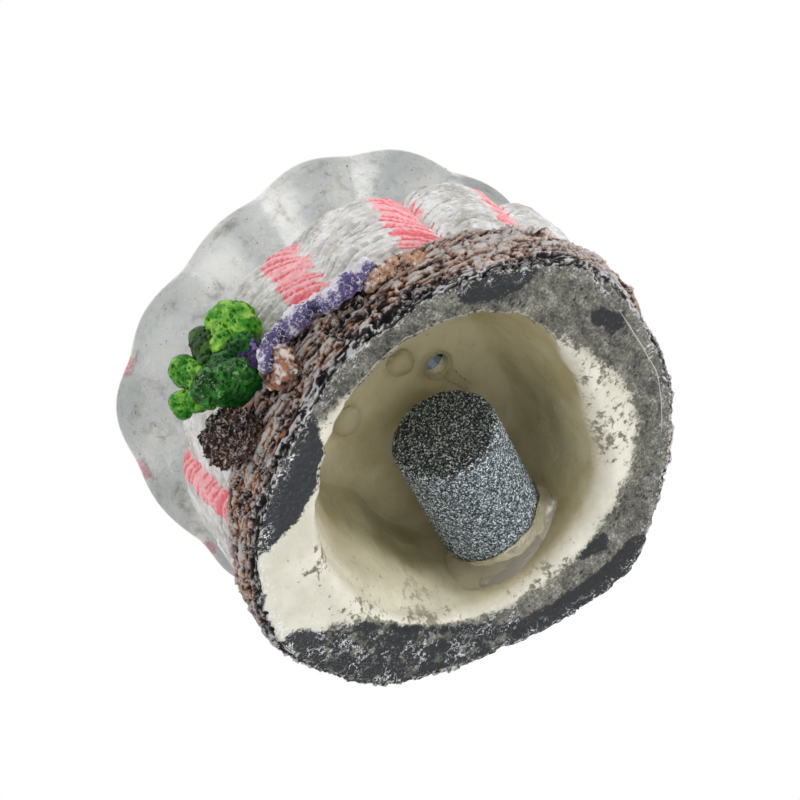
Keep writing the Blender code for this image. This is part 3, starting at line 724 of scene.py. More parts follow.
# Patches of charcoal paint and of grey wash on the base face: chains of discs, each (x, y, radius).
BLACK_PAINT = (
    ((-44.5, -1.0, 2.5), (-43.5, 5.0, 4.5), (-40.0, 12.0, 7.0), (-36.0, 20.0, 8.0), (-31.0, 28.0, 8.0),
     (-26.0, 35.0, 7.5), (-18.0, 42.0, 5.0), (-8.0, 47.0, 4.5), (4.0, 50.0, 4.0), (14.0, 49.0, 3.0)),
    ((-34.5, -26.0, 3.0), (-28.5, -29.5, 6.2), (-22.0, -33.0, 7.0), (-16.5, -38.0, 4.6)),
    ((24.0, -33.0, 2.6), (28.5, -30.5, 4.0), (33.0, -27.0, 2.6)),
    ((38.5, -5.0, 1.6), (40.0, -1.0, 2.0)),
    ((6.0, 39.5, 1.4), (9.0, 40.5, 1.8)),
)
GREY_WASH = (
    ((-13.0, -40.0, 4.5), (-4.0, -41.0, 5.0), (6.0, -40.0, 5.5), (16.0, -37.0, 6.0), (25.0, -32.0, 7.0),
     (33.0, -24.0, 9.0), (38.0, -14.0, 9.5), (40.0, -3.0, 8.5), (41.5, 8.0, 8.0), (40.0, 18.0, 7.0),
     (36.0, 27.0, 7.0), (29.0, 36.0, 7.5), (20.0, 42.0, 8.0), (9.0, 46.0, 8.5), (-3.0, 46.5, 9.0),
     (-14.0, 43.5, 9.0), (-23.0, 37.0, 9.0), (-31.0, 28.0, 9.3), (-37.0, 18.0, 8.8), (-42.0, 8.0, 6.5)),
)
# Where dirt specks gather on the base face: (x, y) and how far they reach.
SPECK_CLUSTERS = (((-34, 8), 8), ((-30, -11), 5), ((24, 19), 9), ((-5, 37), 8), ((-26, 22), 8), ((31, 6), 6))
# Hollows in the rock's front: middle, half sizes and depth.
HOLLOWS = (
    ((-3.5, -46.0, 9.3), (5.5, 3.5, 2.6), 1.5),
    ((6.5, -45.5, 8.8), (3.5, 3.5, 1.8), 1.0),
    ((-22.0, -42.0, 8.5), (4.0, 4.0, 3.0), 1.1),
)


def blot(grid, chains):
    """How far inside a set of painted patches each point lies: 0 on the border, 1 at 2.5 mm inside."""
    best = np.full(grid.shape[:2], -9.0)
    for chain in chains:
        for (x0, y0, r0), (x1, y1, r1) in zip(chain, chain[1:]):
            for t in np.linspace(0, 1, 9):
                away = np.hypot(grid[..., 0] - x0 - t * (x1 - x0), grid[..., 1] - y0 - t * (y1 - y0))
                best = np.maximum(best, (r0 + t * (r1 - r0) - away) / 2.5)
    return best


def towards_hinge(angles):
    return np.clip(np.sin(angles), 0, 1) ** 2


def ledge(angles):
    return LEDGE_HEIGHT + LEDGE_CLIMB * towards_hinge(angles)


def valve_ellipse(angles):
    depth = np.where(np.sin(angles) < 0, VALVE_FRONT, VALVE_BACK)
    return 1 / np.sqrt((np.cos(angles) / VALVE_HALF_WIDTH) ** 2 + (np.sin(angles) / depth) ** 2)


def rock_outside(turn, base, foot):
    """The outside of the rock before its relief, from the base face's outline up to the foot of the shell."""
    rise = through_points(LIP_RISE, turn)
    width = LIP_WIDTH + LIP_FRONT_EXTRA * np.clip(-np.sin(turn), 0, 1) ** 2
    rings = [
        polar(BASE_CENTRE, base, turn, 0),
        polar(BASE_CENTRE, base * 1.02, turn, 2.5),
        polar(BASE_CENTRE, base * 1.025, turn, 6.0),
        polar(BASE_CENTRE, base * 1.02, turn, 9.5),
        polar(VALVE_CENTRE, foot + width, turn, ledge(turn) + 0.7 * rise),
        polar(VALVE_CENTRE, foot + 1.3, turn, ledge(turn) + rise),
        polar(VALVE_CENTRE, foot - 1.6, turn, ledge(turn) + rise - 1.4),
    ]
    return spread(rings, (8, 11, 11, 14, 10, 4))


def bark(outside, turn):
    """Bark-like layers that run round the rock: terraces of a noise drawn out along the rim, sharp at their
    upper edges, undercut at their feet and pitted. Gives the push in millimetres, the height that the paint
    goes by, the crests, and the position that the layers flow along.
    """
    down = np.cumsum(np.linalg.norm(np.diff(outside, axis=0, prepend=outside[:1]), axis=2), axis=0)
    around = np.broadcast_to(turn, down.shape)
    flow = np.stack([3.6 * np.cos(around), 3.6 * np.sin(around), 0.40 * down], axis=-1)
    flow = flow + 0.34 * np.stack([fractal(outside, 0.10, 3, seed) for seed in (3.0, 8.0, 15.0)], axis=-1)
    level = 2.9 * fractal(flow, 1.0, 4, 1.0)
    part = level - np.floor(level)
    tread = np.floor(level) + smooth(0.60, 0.86, part)
    crest = np.maximum(smooth(0.76, 0.86, part), 1 - smooth(0.0, 0.10, part))
    under = smooth(0.38, 0.58, part) * (1 - smooth(0.62, 0.74, part))
    pit = 1 - smooth(0.06, 0.24, cells(flow, (1.3, 1.3, 0.9), 4.0))
    rough = fractal(flow, 2.6, 4, 11.0) + 0.5 * fractal(outside, 0.8, 4, 6.0)
    tread = tread - fractal(flow, 1.0, 1, 1.0) * 1.2
    relief = 0.52 * tread + 0.15 * crest - 0.45 * under + 0.38 * rough - 0.9 * pit
    for centre, sizes, depth in HOLLOWS:
        away = np.linalg.norm((outside - centre) / sizes, axis=-1)
        relief = relief - depth * (1 - smooth(0.3, 1.1, away))
    low, high = np.percentile(relief, (2, 98))
    tone = np.clip((relief - low) / (high - low), -0.3, 1) + 0.24 * crest - 0.50 * under - 0.45 * pit
    # The tone is lifted a little on the rock's front-right side: painted light.
    tone = tone + 0.08 * smooth(0.6, 0.95, np.cos(turn + math.radians(40)))
    return relief, tone, crest, flow


def hollow(turn, lip, mouth, chips, fillet, gentle):
    """The hollow above the base face: its wall, its ceiling and the rim of the bubble hole. The wall leans in
    gently on the left and steeply elsewhere.
    """
    share = through_points(CEILING_SHARE, turn) - 0.06 * gentle
    rings = [lip]
    for a in np.radians((15, 35, 55, 75)):
        radius = mouth + chips + fillet * (0.55 - 0.75 * math.sin(a))
        rings.append(polar(MOUTH_CENTRE, radius, turn, fillet * (1 - math.cos(a))))
    bends = ((7, 0.12, 0.30), (16, 0.38, 0.62), (22, 0.62, 0.86), (26, 0.86, 1.0), (27.6, 1.12, 1.1))
    for height, steep, soft in bends:
        bend = steep * (1 - gentle) + soft * gentle
        radius = np.minimum(mouth * (1 - (1 - share) * bend), mouth + chips - 0.2 * fillet)
        rings.append(polar(MOUTH_CENTRE, radius, turn, height))
    wall = spread(rings, (1, 1, 1, 2, 4, 6, 5, 4, 2))
    hole = polar(BUBBLE_HOLE, np.full(len(turn), BUBBLE_HOLE_RADIUS), turn, CEILING_HEIGHT)
    ceiling = straight([wall[-1], hole], (8,))[1:]
    reach = np.linspace(0, 1, len(ceiling))[:, None]
    ceiling[..., 2] = CEILING_HEIGHT - (CEILING_HEIGHT - wall[-1][:, 2]) * (1 - reach) ** 2
    dents = fractal(wall, 0.06, 3, 3.0) * 0.8 + fractal(wall, 0.25, 3, 5.0) * 0.12
    ease = smooth(0, 8, np.arange(len(wall)))[:, None]
    return wall + grid_normals(wall) * (dents * ease)[..., None], ceiling, hole


def base_fields(grid, rows, chips, crisp, gentle):
    """What the paint of the base face and the hollow reads: how deep a point is, how far it is from the outer
    edge (inset) and from the mouth's edge (lip), and where the patches, specks and scored line lie.
    """
    x, y, z = grid[..., 0], grid[..., 1], grid[..., 2]
    angle = np.arctan2(y - BASE_CENTRE[1], x - BASE_CENTRE[0])
    inset = through_points(BASE_RADII, angle) - np.hypot(x - BASE_CENTRE[0], y - BASE_CENTRE[1])
    inset[rows - 1] = 0
    degrees = np.degrees(angle)
    around = np.arctan2(y - MOUTH_CENTRE[1], x - MOUTH_CENTRE[0])
    lip = np.hypot(x - MOUTH_CENTRE[0], y - MOUTH_CENTRE[1]) - through_points(MOUTH_RADII, around) - chips - z
    deep = smooth(0.3, 4.5, z) * (1 - 0.55 * gentle * (1 - smooth(4, 20, z)))
    deep[:rows] = 0
    inside = 4 * smooth(0.3, 3.0, z)
    near = [np.exp(-((x - cx) ** 2 + (y - cy) ** 2) / r**2) for (cx, cy), r in SPECK_CLUSTERS]
    return {
        "black": blot(grid, BLACK_PAINT) - inside,
        "grey": blot(grid, GREY_WASH) - inside,
        "deep": deep,
        "specks": np.max(near, axis=0),
        "inset": inset,
        "lip": lip,
        "crisp": np.broadcast_to(crisp, z.shape),
        "scored": smooth(-14, -4, degrees) * (1 - smooth(30, 40, degrees)),
        "mottle": smooth(96, 112, degrees % 360) * (1 - smooth(182, 192, degrees % 360)),
    }


def rock_plinth(side, underside):
    """One closed skin: up the outside, over the base face, up the hollow and its shaft, and over the top."""
    cols = 860
    turn = np.arange(cols) * TAU / cols
    base = through_points(BASE_RADII, turn)
    foot = 0.95 * valve_ellipse(turn)
    outside = rock_outside(turn, base, foot)
    outline = outside[0].copy()
    normal = outward_normals(outside, (*BASE_CENTRE, 0))
    relief, tone, crest, flow = bark(outside, turn)
    rows = len(outside)
    settle = np.ones(rows)
    settle[:3] = (0.35, 0.6, 0.85)
    settle[-3:] = (0.8, 0.5, 0.3)
    push = np.clip(relief, -2.2, 1.4) * settle[:, None]
    outside = outside + normal * push[..., None]
    ragged = fractal(outline, 0.5, 4, 2.0) * 0.55 + fractal(outline, 0.12, 3, 6.0) * 0.7
    outward = (outline - np.array([*BASE_CENTRE, 0])) / base[:, None]
    outside[0] = outline + outward * (ragged + push[0])[:, None]
    outside[0, :, 2] = 0
    outside[1:, :, 2] = np.maximum(outside[1:, :, 2], 0.12)

    # The mouth's edge is crisp at the front and on the right, and rounded over elsewhere.
    degrees = np.degrees(turn)
    mouth = through_points(MOUTH_RADII, turn)
    gentle = smooth(95, 130, degrees) * (1 - smooth(205, 240, degrees))
    crisp = smooth(200, 235, degrees) * (1 - smooth(335, 365, degrees))
    crisp = np.maximum(crisp, 0.35 * (1 - smooth(0, 60, degrees)))
    chips = fractal(polar(MOUTH_CENTRE, mouth, turn, 0), 0.35, 4, 9.0) * 0.4 * (0.25 + crisp)
    fillet = 0.5 + 4.5 * (1 - crisp)
    lip = polar(MOUTH_CENTRE, mouth + chips + 0.55 * fillet, turn, 0)
    face = straight([outside[0], lip], (13,))
    wall, ceiling, hole = hollow(turn, lip, mouth, chips, fillet, gentle)
    shaft = straight([hole, hole + (0, 0, 2.8)], (2,))[1:]
    top = polar(VALVE_CENTRE, 0.9 * foot, turn, CORE_TOP)
    crown = straight([hole + (0, 0, 3.0), top], (3,))
    close = straight([top, polar(VALVE_CENTRE, foot - 3.2, turn, ledge(turn) - 2.0)], (2,))[1:]
    grid = np.concatenate([outside[::-1], face[1:], wall[1:], ceiling, shaft, crown, close])

    def on_side(values):
        out = np.zeros(grid.shape[:2])
        out[:rows] = values[::-1]
        return out

    lowness = 1 - smooth(0.8, 4.0, outside[..., 2])
    fields = base_fields(grid, rows, chips, crisp, gentle)
    fields["relief"] = on_side(tone)
    fields["crest"] = on_side(crest)
    fields["dark"] = on_side(0.42 * lowness + 0.24 + 0.25 * fractal(outside, 0.05, 2, 31.0))
    for axis, key in enumerate(("flow_x", "flow_y", "flow_z")):
        fields[key] = on_side(flow[..., axis])
    item = skin("rock_plinth_cast", grid, fields)
    show(item, (side, underside), "plinth_rock", "rock_plinth")
    index = np.ones((len(grid), cols), np.int32)
    index[:rows - 1] = 0
    index[len(grid) - len(close):] = 0
    item.data.polygons.foreach_set("material_index", index.ravel())
    return item


# ---------------------------------------------------------------- clam

# How far one valley between two ribs is turned from straight ahead, as the photo shows it.
VALLEY = math.radians(4.3)
LID_VALLEY = math.radians(8.7)


def rib(fan):
    """1 on the crests of the lower valve's ribs and 0 in their valleys, fading out towards the hinge."""
    phase = np.abs(np.sin(np.pi * (fan - VALLEY) / RIB_PITCH)) ** 0.8
    return 1 - (1 - phase) * rib_fade(fan)


def soft_rib(fan):
    """As rib, for the lid, with rounded valleys."""
    phase = 0.5 - 0.5 * np.cos(TAU * (fan - LID_VALLEY) / RIB_PITCH)
    return 1 - (1 - phase**0.7) * rib_fade(fan)


def rib_fade(fan):
    return np.clip((math.radians(98) - np.abs(fan)) / math.radians(25), 0, 1)


def rib_strength(fan):
    """The ribs are shallow on the left and middle of the lower valve, and deep on its right."""
    return np.interp(np.degrees(fan), (-60, -28, 4.3, 20.6, 60), (0.3, 0.3, 0.4, 1.0, 1.0))


def valley_offset(fan, valley):
    """Degrees from the nearest valley, negative on its left."""
    return np.degrees(np.mod(fan - valley + RIB_PITCH / 2, RIB_PITCH) - RIB_PITCH / 2)


def growth_lines(level, seed):
    """Uneven ridges, 0 in a groove and 1 on a ridge, from a position across them in millimetres."""
    drift = level + 0.55 * np.sin(level * 0.8 + seed) + 0.25 * np.sin(level * 2.1 + 2 * seed)
    return np.clip(np.abs(np.sin(drift * math.pi / 1.9)) ** 0.6 * 1.1 - 0.08, 0, 1)


def grid_away(grid, centre):
    """Level directions straight out from a centre."""
    out = (grid - (*centre, 0)) * (1, 1, 0)
    return out / np.linalg.norm(out, axis=-1, keepdims=True)


def lower_valve(look):
    cols, rows = 1000, 76
    turn = np.arange(cols) * TAU / cols
    full = valve_ellipse(turn)
    plan = polar(VALVE_CENTRE, full, turn, 0)
    fan = np.arctan2(plan[:, 0] - VALVE_CENTRE[0], UMBO_Y - plan[:, 1])
    spread_out = smooth(12, 36, np.hypot(plan[:, 0] - VALVE_CENTRE[0], UMBO_Y - plan[:, 1]))
    crest = 1 - (1 - rib(fan)) * spread_out
    drop = (1 - crest) * rib_strength(fan)
    low = ledge(turn) - 1.0
    level = np.linspace(0, 1, rows)[:, None]
    share = np.interp(level, (0, 0.25, 0.5, 0.75, 1.0), (0.95, 0.972, 0.99, 1.0, 1.0))
    depth = RIB_DEPTH * np.interp(level, (0, 0.25, 0.5, 0.75, 1.0), (0.5, 0.65, 0.8, 0.92, 1.0))
    top = RIM_HEIGHT - RIB_LIFT * drop + RIM_CLIMB * towards_hinge(turn)
    height = low * (1 - level) + top * level
    outer = polar(VALVE_CENTRE, full * share - depth * drop, turn, height)
    across = height - 4.2 * crest + 0.9 * fractal(outer, 0.07, 3, 4.0)
    worn = 1 - (1 - growth_lines(across, 0.4)) * smooth(-0.9, 0.15, fractal(outer, 0.2, 3, 7.0))
    push = 0.42 * (worn - 0.5) + 0.45 * fractal(outer, 0.14, 4, 2.0) + 0.16 * fractal(outer, 0.7, 3, 2.5)
    outer = outer + grid_away(outer, VALVE_CENTRE) * push[..., None]

    # The rim is rounded over, and the bowl inside goes straight down.
    reach = np.hypot(outer[-1, :, 0] - VALVE_CENTRE[0], outer[-1, :, 1] - VALVE_CENTRE[1])
    steps = ((0.25, 0.28), (0.7, 0.42), (1.3, 0.3), (1.9, -0.1))
    lip = [polar(VALVE_CENTRE, reach - inward, turn, top + above) for inward, above in steps]
    inner = [
        polar(VALVE_CENTRE, full - VALVE_WALL + 0.4, turn, RIM_HEIGHT - 3.0),
        polar(VALVE_CENTRE, full * 0.99 - VALVE_WALL + 0.4, turn, 28.0),
        polar(VALVE_CENTRE, full * 0.95 - VALVE_WALL, turn, low),
    ]
    bowl = straight([lip[-1]] + inner, (4, 4, 3))[1:]
    grid = np.concatenate([outer, lip, bowl])

    # Pink runs down the left flank of each valley at the front, in short strokes along the growth lines.
    tone = np.ones(grid.shape[:2])
    tone[:rows] = worn
    off = valley_offset(fan, VALLEY)
    along = np.stack(np.broadcast_arrays(across, 0 * across, fan * 5), axis=-1)
    stroke = fractal(along, (0.85, 1.0, 1.0), 3, 5.0)
    left = smooth(-0.6, 0.5, off + 4.9 + 1.6 * (1 - level) + 1.2 * stroke)
    right = 1 - smooth(-0.3, 0.6, off - 0.4 + 1.0 * (1 - level) - 2.0 * stroke)
    painted = (np.degrees(fan) > -40) & (np.degrees(fan) < 38)
    pink = np.zeros(grid.shape[:2])
    pink[:rows] = left * right * painted * spread_out
    # The stain is heavier on the left of the lower valve: partly dirt, partly painted shade on the side away
    # from the main light.
    stain = np.interp(np.degrees(fan), (-30, 5, 22), (0.95, 0.85, 0.40))
    fields = {"growth": tone, "pink": pink, "stain": np.broadcast_to(stain, grid.shape[:2])}
    return show(skin("lower_valve_shell", grid, fields), look, "shell", "lower_valve")


def lid_place(across, along, above):
    """From the lid's own directions, measured from the hinge, to a place on the ornament."""
    y = HINGE[1] - along * math.cos(LID_ANGLE) + above * math.sin(LID_ANGLE)
    z = HINGE[2] + along * math.sin(LID_ANGLE) + above * math.cos(LID_ANGLE)
    return np.stack([HINGE[0] + across, y, z], axis=-1)


def lid_outline(turn):
    """An outline fuller than an ellipse, more so on its left, across the lid and along it from the hinge."""
    cos, sin = np.cos(turn), np.sin(turn)
    leftward = 0.5 - 0.5 * cos
    power = 2 / (LID_FULLNESS["right"] + (LID_FULLNESS["left"] - LID_FULLNESS["right"]) * leftward)
    across = LID_HALF_WIDTH * np.sign(cos) * np.abs(cos) ** power
    reach = np.where(sin < 0, LID_LENGTH - LID_WIDEST, LID_WIDEST)
    along = LID_WIDEST - reach * np.sign(sin) * np.abs(sin) ** power
    return across, along


def upper_valve(look):
    cols = 900
    turn = np.arange(cols) * TAU / cols
    across, along = lid_outline(turn)
    fan = np.arctan2(across, along + 4.0)
    crest = soft_rib(fan)

    def sheet(shares, sinks):
        """Rings of the lid's dome, each at a share of the way to its edge and sunk by some millimetres."""
        rows = []
        for share, sink in zip(shares, sinks):
            centre = LID_WIDEST - 5.0 * (1 - share)
            inset = 1 - 0.026 * share * (1 - crest) - sink * 0.012 * share
            dome = LID_DOME * (1 - min(share, 1.0) ** 2.4) ** 0.7
            lift = RIB_LIFT * share * share * (crest - 1)
            down = centre + (along - LID_WIDEST) * share * inset
            rows.append(lid_place(across * share * inset, down, dome + lift - sink))
        return np.array(rows)

    outer_shares = np.concatenate([np.linspace(0.03, 0.9, 32), np.linspace(0.915, 0.995, 8)])
    inner_shares = np.concatenate([np.linspace(0.985, 0.9, 10), np.linspace(0.885, 0.03, 48)])
    outer = sheet(outer_shares, 0 * outer_shares)
    inner = sheet(inner_shares, LID_WALL - 2.0 * smooth(0.80, 0.98, inner_shares))
    lines = growth_lines(outer_shares[:, None] * 60 - 4.0 * crest + fractal(outer, 0.06, 2, 3.0), 1.3)
    worn = 1 - (1 - lines) * smooth(-0.5, 0.4, fractal(outer, 0.22, 3, 5.0))
    push = 0.35 * (worn - 0.5) + 0.35 * fractal(outer, 0.12, 4, 9.0)
    up = np.array([0, math.sin(LID_ANGLE), math.cos(LID_ANGLE)])
    outer = outer + up * push[..., None]

    # Inside, each valley between ribs is a soft ridge, steeper on one flank than on the other.
    phase = TAU * (fan - LID_VALLEY) / RIB_PITCH
    wave = np.cos(phase + 0.5 * np.sin(phase))
    by_edge = smooth(0.92, 0.985, inner_shares)[:, None]
    fade = smooth(0.15, 0.75, inner_shares)[:, None] * (1 - 0.6 * by_edge)
    soft = 1.1 * fractal(inner, 0.045, 3, 6.0) + 0.45 * fractal(inner, 0.2, 4, 1.0)
    soft = soft * (1 - 0.7 * by_edge)
    inner = inner - up * (1.9 * wave * fade - soft)[..., None]
    edge = spread([outer[-1], sheet([1.0], [0.5])[0], inner[0]], (4, 4))[1:-1]
    edge = edge + up * (fractal(edge, 0.35, 3, 2.0) * 0.15)[..., None]
    grid = np.concatenate([outer, edge, inner])

    start, end = len(outer), len(outer) + len(edge)
    tone = np.ones(grid.shape[:2])
    tone[:start] = worn
    off = valley_offset(fan, LID_VALLEY)
    band = smooth(-5.5, -4.0, off) * (1 - smooth(0.5, 3.0, off)) * smooth(0.25, 0.6, outer_shares)[:, None]
    band = band * (1 - smooth(60, 96, np.abs(np.degrees(fan))))
    rosy = (across < -30) * (1 - smooth(1.2, 3.0, np.abs(off + 1.2)))
    pink = np.zeros(grid.shape[:2])
    pink[:start] = band * (0.75 + 0.6 * fractal(outer, 0.3, 3, 4.0))
    pink[start:end] = 0.85 * rosy
    pink[end:] = 0.85 * rosy * (1 - smooth(0.005, 0.03, 0.985 - inner_shares))[:, None]
    stain = np.full(grid.shape[:2], 0.35)
    stain[end:] = 0.7
    fields = {"growth": tone, "pink": pink, "stain": stain}
    return show(skin("upper_valve_shell", grid, fields, poles=True), look, "shell", "upper_valve")


def clam_mantle(look):
    """Flesh that fills the lower valve, with a ruffled edge and the bubble hole through it."""
    cols = 720
    turn = np.arange(cols) * TAU / cols
    bottom = 31.2
    inner = valve_ellipse(turn) * 0.99 - VALVE_WALL + 0.1
    low = 1 - 0.55 * np.clip(np.sin(turn), 0, 1)
    wave = np.sin(11 * turn)
    frill = np.sin(33 * turn + 2 * np.sin(3 * turn))
    hole = polar(BUBBLE_HOLE, np.full(cols, BUBBLE_HOLE_RADIUS + 0.6), turn, 0)
    rings = [
        hole + (0, 0, bottom),
        polar(VALVE_CENTRE, 0.3 * inner, turn, bottom),
        polar(VALVE_CENTRE, inner, turn, bottom),
        polar(VALVE_CENTRE, inner, turn, 33.6),
        polar(VALVE_CENTRE, 0.9 * inner + 1.1 * frill, turn, 34.5 + low * (2.6 + 0.9 * wave + 0.8 * frill)),
        polar(VALVE_CENTRE, 0.72 * inner + wave, turn, 34.2 + low * (3.4 + 1.2 * wave)),
        polar(VALVE_CENTRE, 0.55 * inner, turn, 34.6),
        polar(VALVE_CENTRE, 0.36 * inner, turn, 34.0),
        hole + (0, 0, 34.4),
    ]
    under = straight(rings[:3], (3, 6))[:-1]
    over = spread(rings[2:], (4, 12, 14, 14, 12, 16))
    grid = np.concatenate([under, over, straight([rings[-1], rings[0]], (5,))[1:-1]])
    folds = np.sin(46 * turn + 3 * np.sin(5 * turn) + 4 * fractal(grid, 0.05, 2, 7.0))
    soft = 0.35 * fractal(grid, 0.12, 3, 2.0) + 0.22 * folds + 0.12 * fractal(grid, 0.6, 3, 5.0)
    grid[..., 2] += np.where(grid[..., 2] > 33, soft, 0)
    fields = {"relief": smooth(33.4, 39.0, grid[..., 2])}
    return show(skin("mantle_flesh", grid, fields), look, "mantle", "clam_mantle")


# ---------------------------------------------------------------- air stone and glue

def air_stone(look):
    """A cylinder with rounded edges, as grit. Its profile is (radius, distance from the front face)."""
    cols, edge = 300, 1.2
    turn = np.arange(cols) * TAU / cols
    inner, rear = STONE_RADIUS - edge, STONE_LENGTH - edge
    bends = np.linspace(0, math.pi / 2, 8)[1:]
    profile = [(r, 0.0) for r in np.linspace(0.3, inner, 36)]
    profile += [(inner + edge * math.sin(a), edge - edge * math.cos(a)) for a in bends]
    profile += [(STONE_RADIUS, h) for h in np.linspace(edge, rear, 108)[1:]]
    profile += [(inner + edge * math.cos(a), rear + edge * math.sin(a)) for a in bends]
    profile += [(r, STONE_LENGTH) for r in np.linspace(inner, 0.4, 20)[1:]]
    axis, front = np.array(stone_axis()), np.array(STONE_FRONT)
    side = np.cross(axis, (0, 0, 1))
    side /= np.linalg.norm(side)
    out = np.cos(turn)[:, None] * side + np.sin(turn)[:, None] * np.cross(side, axis)
    grid = np.array([front + axis * h + r * out for r, h in profile])
    normal = outward_normals(grid, front + axis * STONE_LENGTH / 2)
    grain = 0.13 * fractal(grid, 1.9, 3, 2.0) + 0.16 * (cells(grid, 1.7, 3.0) - 0.5)
    grain = grain + 0.10 * fractal(grid, 0.3, 2, 5.0)
    grid = grid + normal * grain[..., None]
    cap = np.zeros(grid.shape[:2])
    cap[:37] = 1
    return show(skin("air_stone_grit", grid, {"front": cap}, poles=True), look, "mineral", "air_stone")


def uneven(points, normals):
    return points + normals * (0.25 * fractal(points, 0.35, 3, 2.0))[:, None]


def glue(look):
    """The bed under the stone, two drops on the ceiling, and a bead round the bubble hole with a strand."""
    x, y = BUBBLE_HOLE
    ring = [((x + 3.0 * math.cos(a), y + 3.1 * math.sin(a), 28.1), (0.45, 0.45, 0.4))
            for a in np.arange(20) * TAU / 20]
    strand = [((x + 0.15 * s, y + s, 27.4), (1.7 - 0.08 * s, 1.3, 0.9)) for s in (4, 5.5, 7, 8.5)]
    pieces = (
        ("glue_bed_poured", "glue_bed", ["glue_bed"], (), 0.5, 4),
        ("glue_drop_left_set", "glue_drop_left", ["glue_drop_left"], (), 0.3, 3),
        ("glue_drop_front_set", "glue_drop_front", ["glue_drop_front"], (), 0.3, 3),
        ("glue_bead_set", "glue_bead_at_hole", [], ring + strand, 0.25, 4),
    )
    for name, node, sources, balls, voxel, melt in pieces:
        item = organic(name, sources, balls, voxel, melt, uneven)
        show(item, look, "clear_glue", node)


# ---------------------------------------------------------------- growths on the plinth

def coral_relief(points, normals):
    pit = 1 - smooth(0.16, 0.40, cells(points * (1, 1, 0.7), 1.1, 2.0))
    return points + normals * (0.3 - 0.7 * pit + 0.34 * fractal(points, 0.6, 4, 4.0))[:, None]


def coral_tone(points):
    open_skin = smooth(0.10, 0.34, cells(points * (1, 1, 0.7), 1.1, 2.0))
    return np.clip(open_skin * 0.80 + 0.32 * fractal(points, 0.4, 4, 1.0) + 0.12, 0, 1.2)


def coral(looks):
    """The green clump: for each piece its CAD node, the balls that fill it out, its paint and its slot."""
    pieces = (
        ("coral_stub", "green_coral_base", "emerald", "green_coral",
         (((-15.5, -45.0, 14.6), 3.0), ((-12.4, -45.2, 18.0), 3.2))),
        ("coral_finger_tall", "green_coral_branch_tall", "lime", "lime_coral",
         (((-12.2, -45.3, 28.4), 2.7), ((-9.2, -45.3, 25.6), 3.1), ((-9.6, -45.2, 22.4), 3.0))),
        ("coral_finger_dark", "green_coral_branch_dark", "forest", "green_coral",
         (((-15.4, -44.8, 26.2), 2.3),)),
        ("coral_finger_left", "green_coral_branch_left", "leaf", "green_coral", ()),
        ("coral_finger_low", "green_coral_branch_low", "leaf", "green_coral",
         (((-27.9, -43.3, 20.6), 1.6), ((-25.0, -44.4, 18.8), 2.0))),
        ("coral_clump_glazed", "green_coral_branch_front", "glazed", "lime_coral",
         (((-21.8, -46.4, 16.2), 3.0), ((-18.0, -46.6, 14.6), 2.8), ((-15.0, -46.4, 13.0), 2.2))),
    )
    for name, node, colour, slot, balls in pieces:
        item = organic(name, [node], balls, 0.25, 4, coral_relief, coral_tone)
        show(item, looks[colour], slot, node)


def sponge_tone(points):
    """Pale on top of the ridge, deep purple under it."""
    along = (-11.4, -8.4, -4.5, 0.5, 5.0, 9.7, 14.0)
    ridge = np.interp(points[:, 0], along, (9.6, 12.4, 13.4, 12.8, 11.2, 10.8, 11.6))
    over = np.clip((points[:, 2] - ridge) / 2.2, -1, 1)
    return np.clip(0.64 + 0.34 * over + 0.42 * fractal(points, 0.35, 5, 3.0), 0, 1)


def broken_plates(points, scale, seed):
    """Angular plates: the height of each, 0 to 1, and how near each point is to a gap, 0 to 1."""
    p = (points * (scale, scale, 1.6 * scale) + (seed, -seed, seed)).tolist()
    height, gap = np.empty(len(p)), np.empty(len(p))
    for i, q in enumerate(p):
        away, near = noise.voronoi(q)
        x, y, z = near[0]
        height[i] = math.sin(x * 12.9 + y * 78.2 + z * 37.7) * 437.5 % 1.0
        gap[i] = away[1] - away[0]
    return height, 1 - smooth(0.02, 0.16, gap)


def roughness(points, scale, seed):
    return fractal(points, scale, 2, seed) + 0.7 * fractal(points, 3 * scale, 4, seed)


def craggy(amount, scale, seed, plates=0.25, pull=1.0, squash=1.0, floor=0.0):
    """A relief of rough facets and clefts. pull draws the piece in towards the plinth, and squash lowers what
    stands over the floor height.
    """
    def relief(points, normals):
        points = points * (pull, pull, 1)
        points[:, 2] = floor + (points[:, 2] - floor) * squash
        plate, gap = broken_plates(points, scale, seed)
        shape = plates * (plate - 0.5 - 0.8 * gap) + 0.75 * roughness(points, scale, seed)
        return points + normals * (0.2 + amount * shape)[:, None]
    return relief


def rough_tone(scale, seed):
    def tone(points):
        plate, gap = broken_plates(points, scale, seed)
        return np.clip(0.48 + 0.25 * (plate - 0.5 - 0.7 * gap) + 0.5 * roughness(points, scale, seed), 0, 1)
    return tone


def webbed_tone(scale, seed):
    """Dark cells with pale, thin walls between them."""
    def tone(points):
        plate, gap = broken_plates(points, scale, seed)
        fine = fractal(points, 3 * scale, 4, seed)
        return np.clip(0.22 + 0.2 * (plate - 0.5) + 0.5 * gap + 0.25 * fine, 0, 1)
    return tone


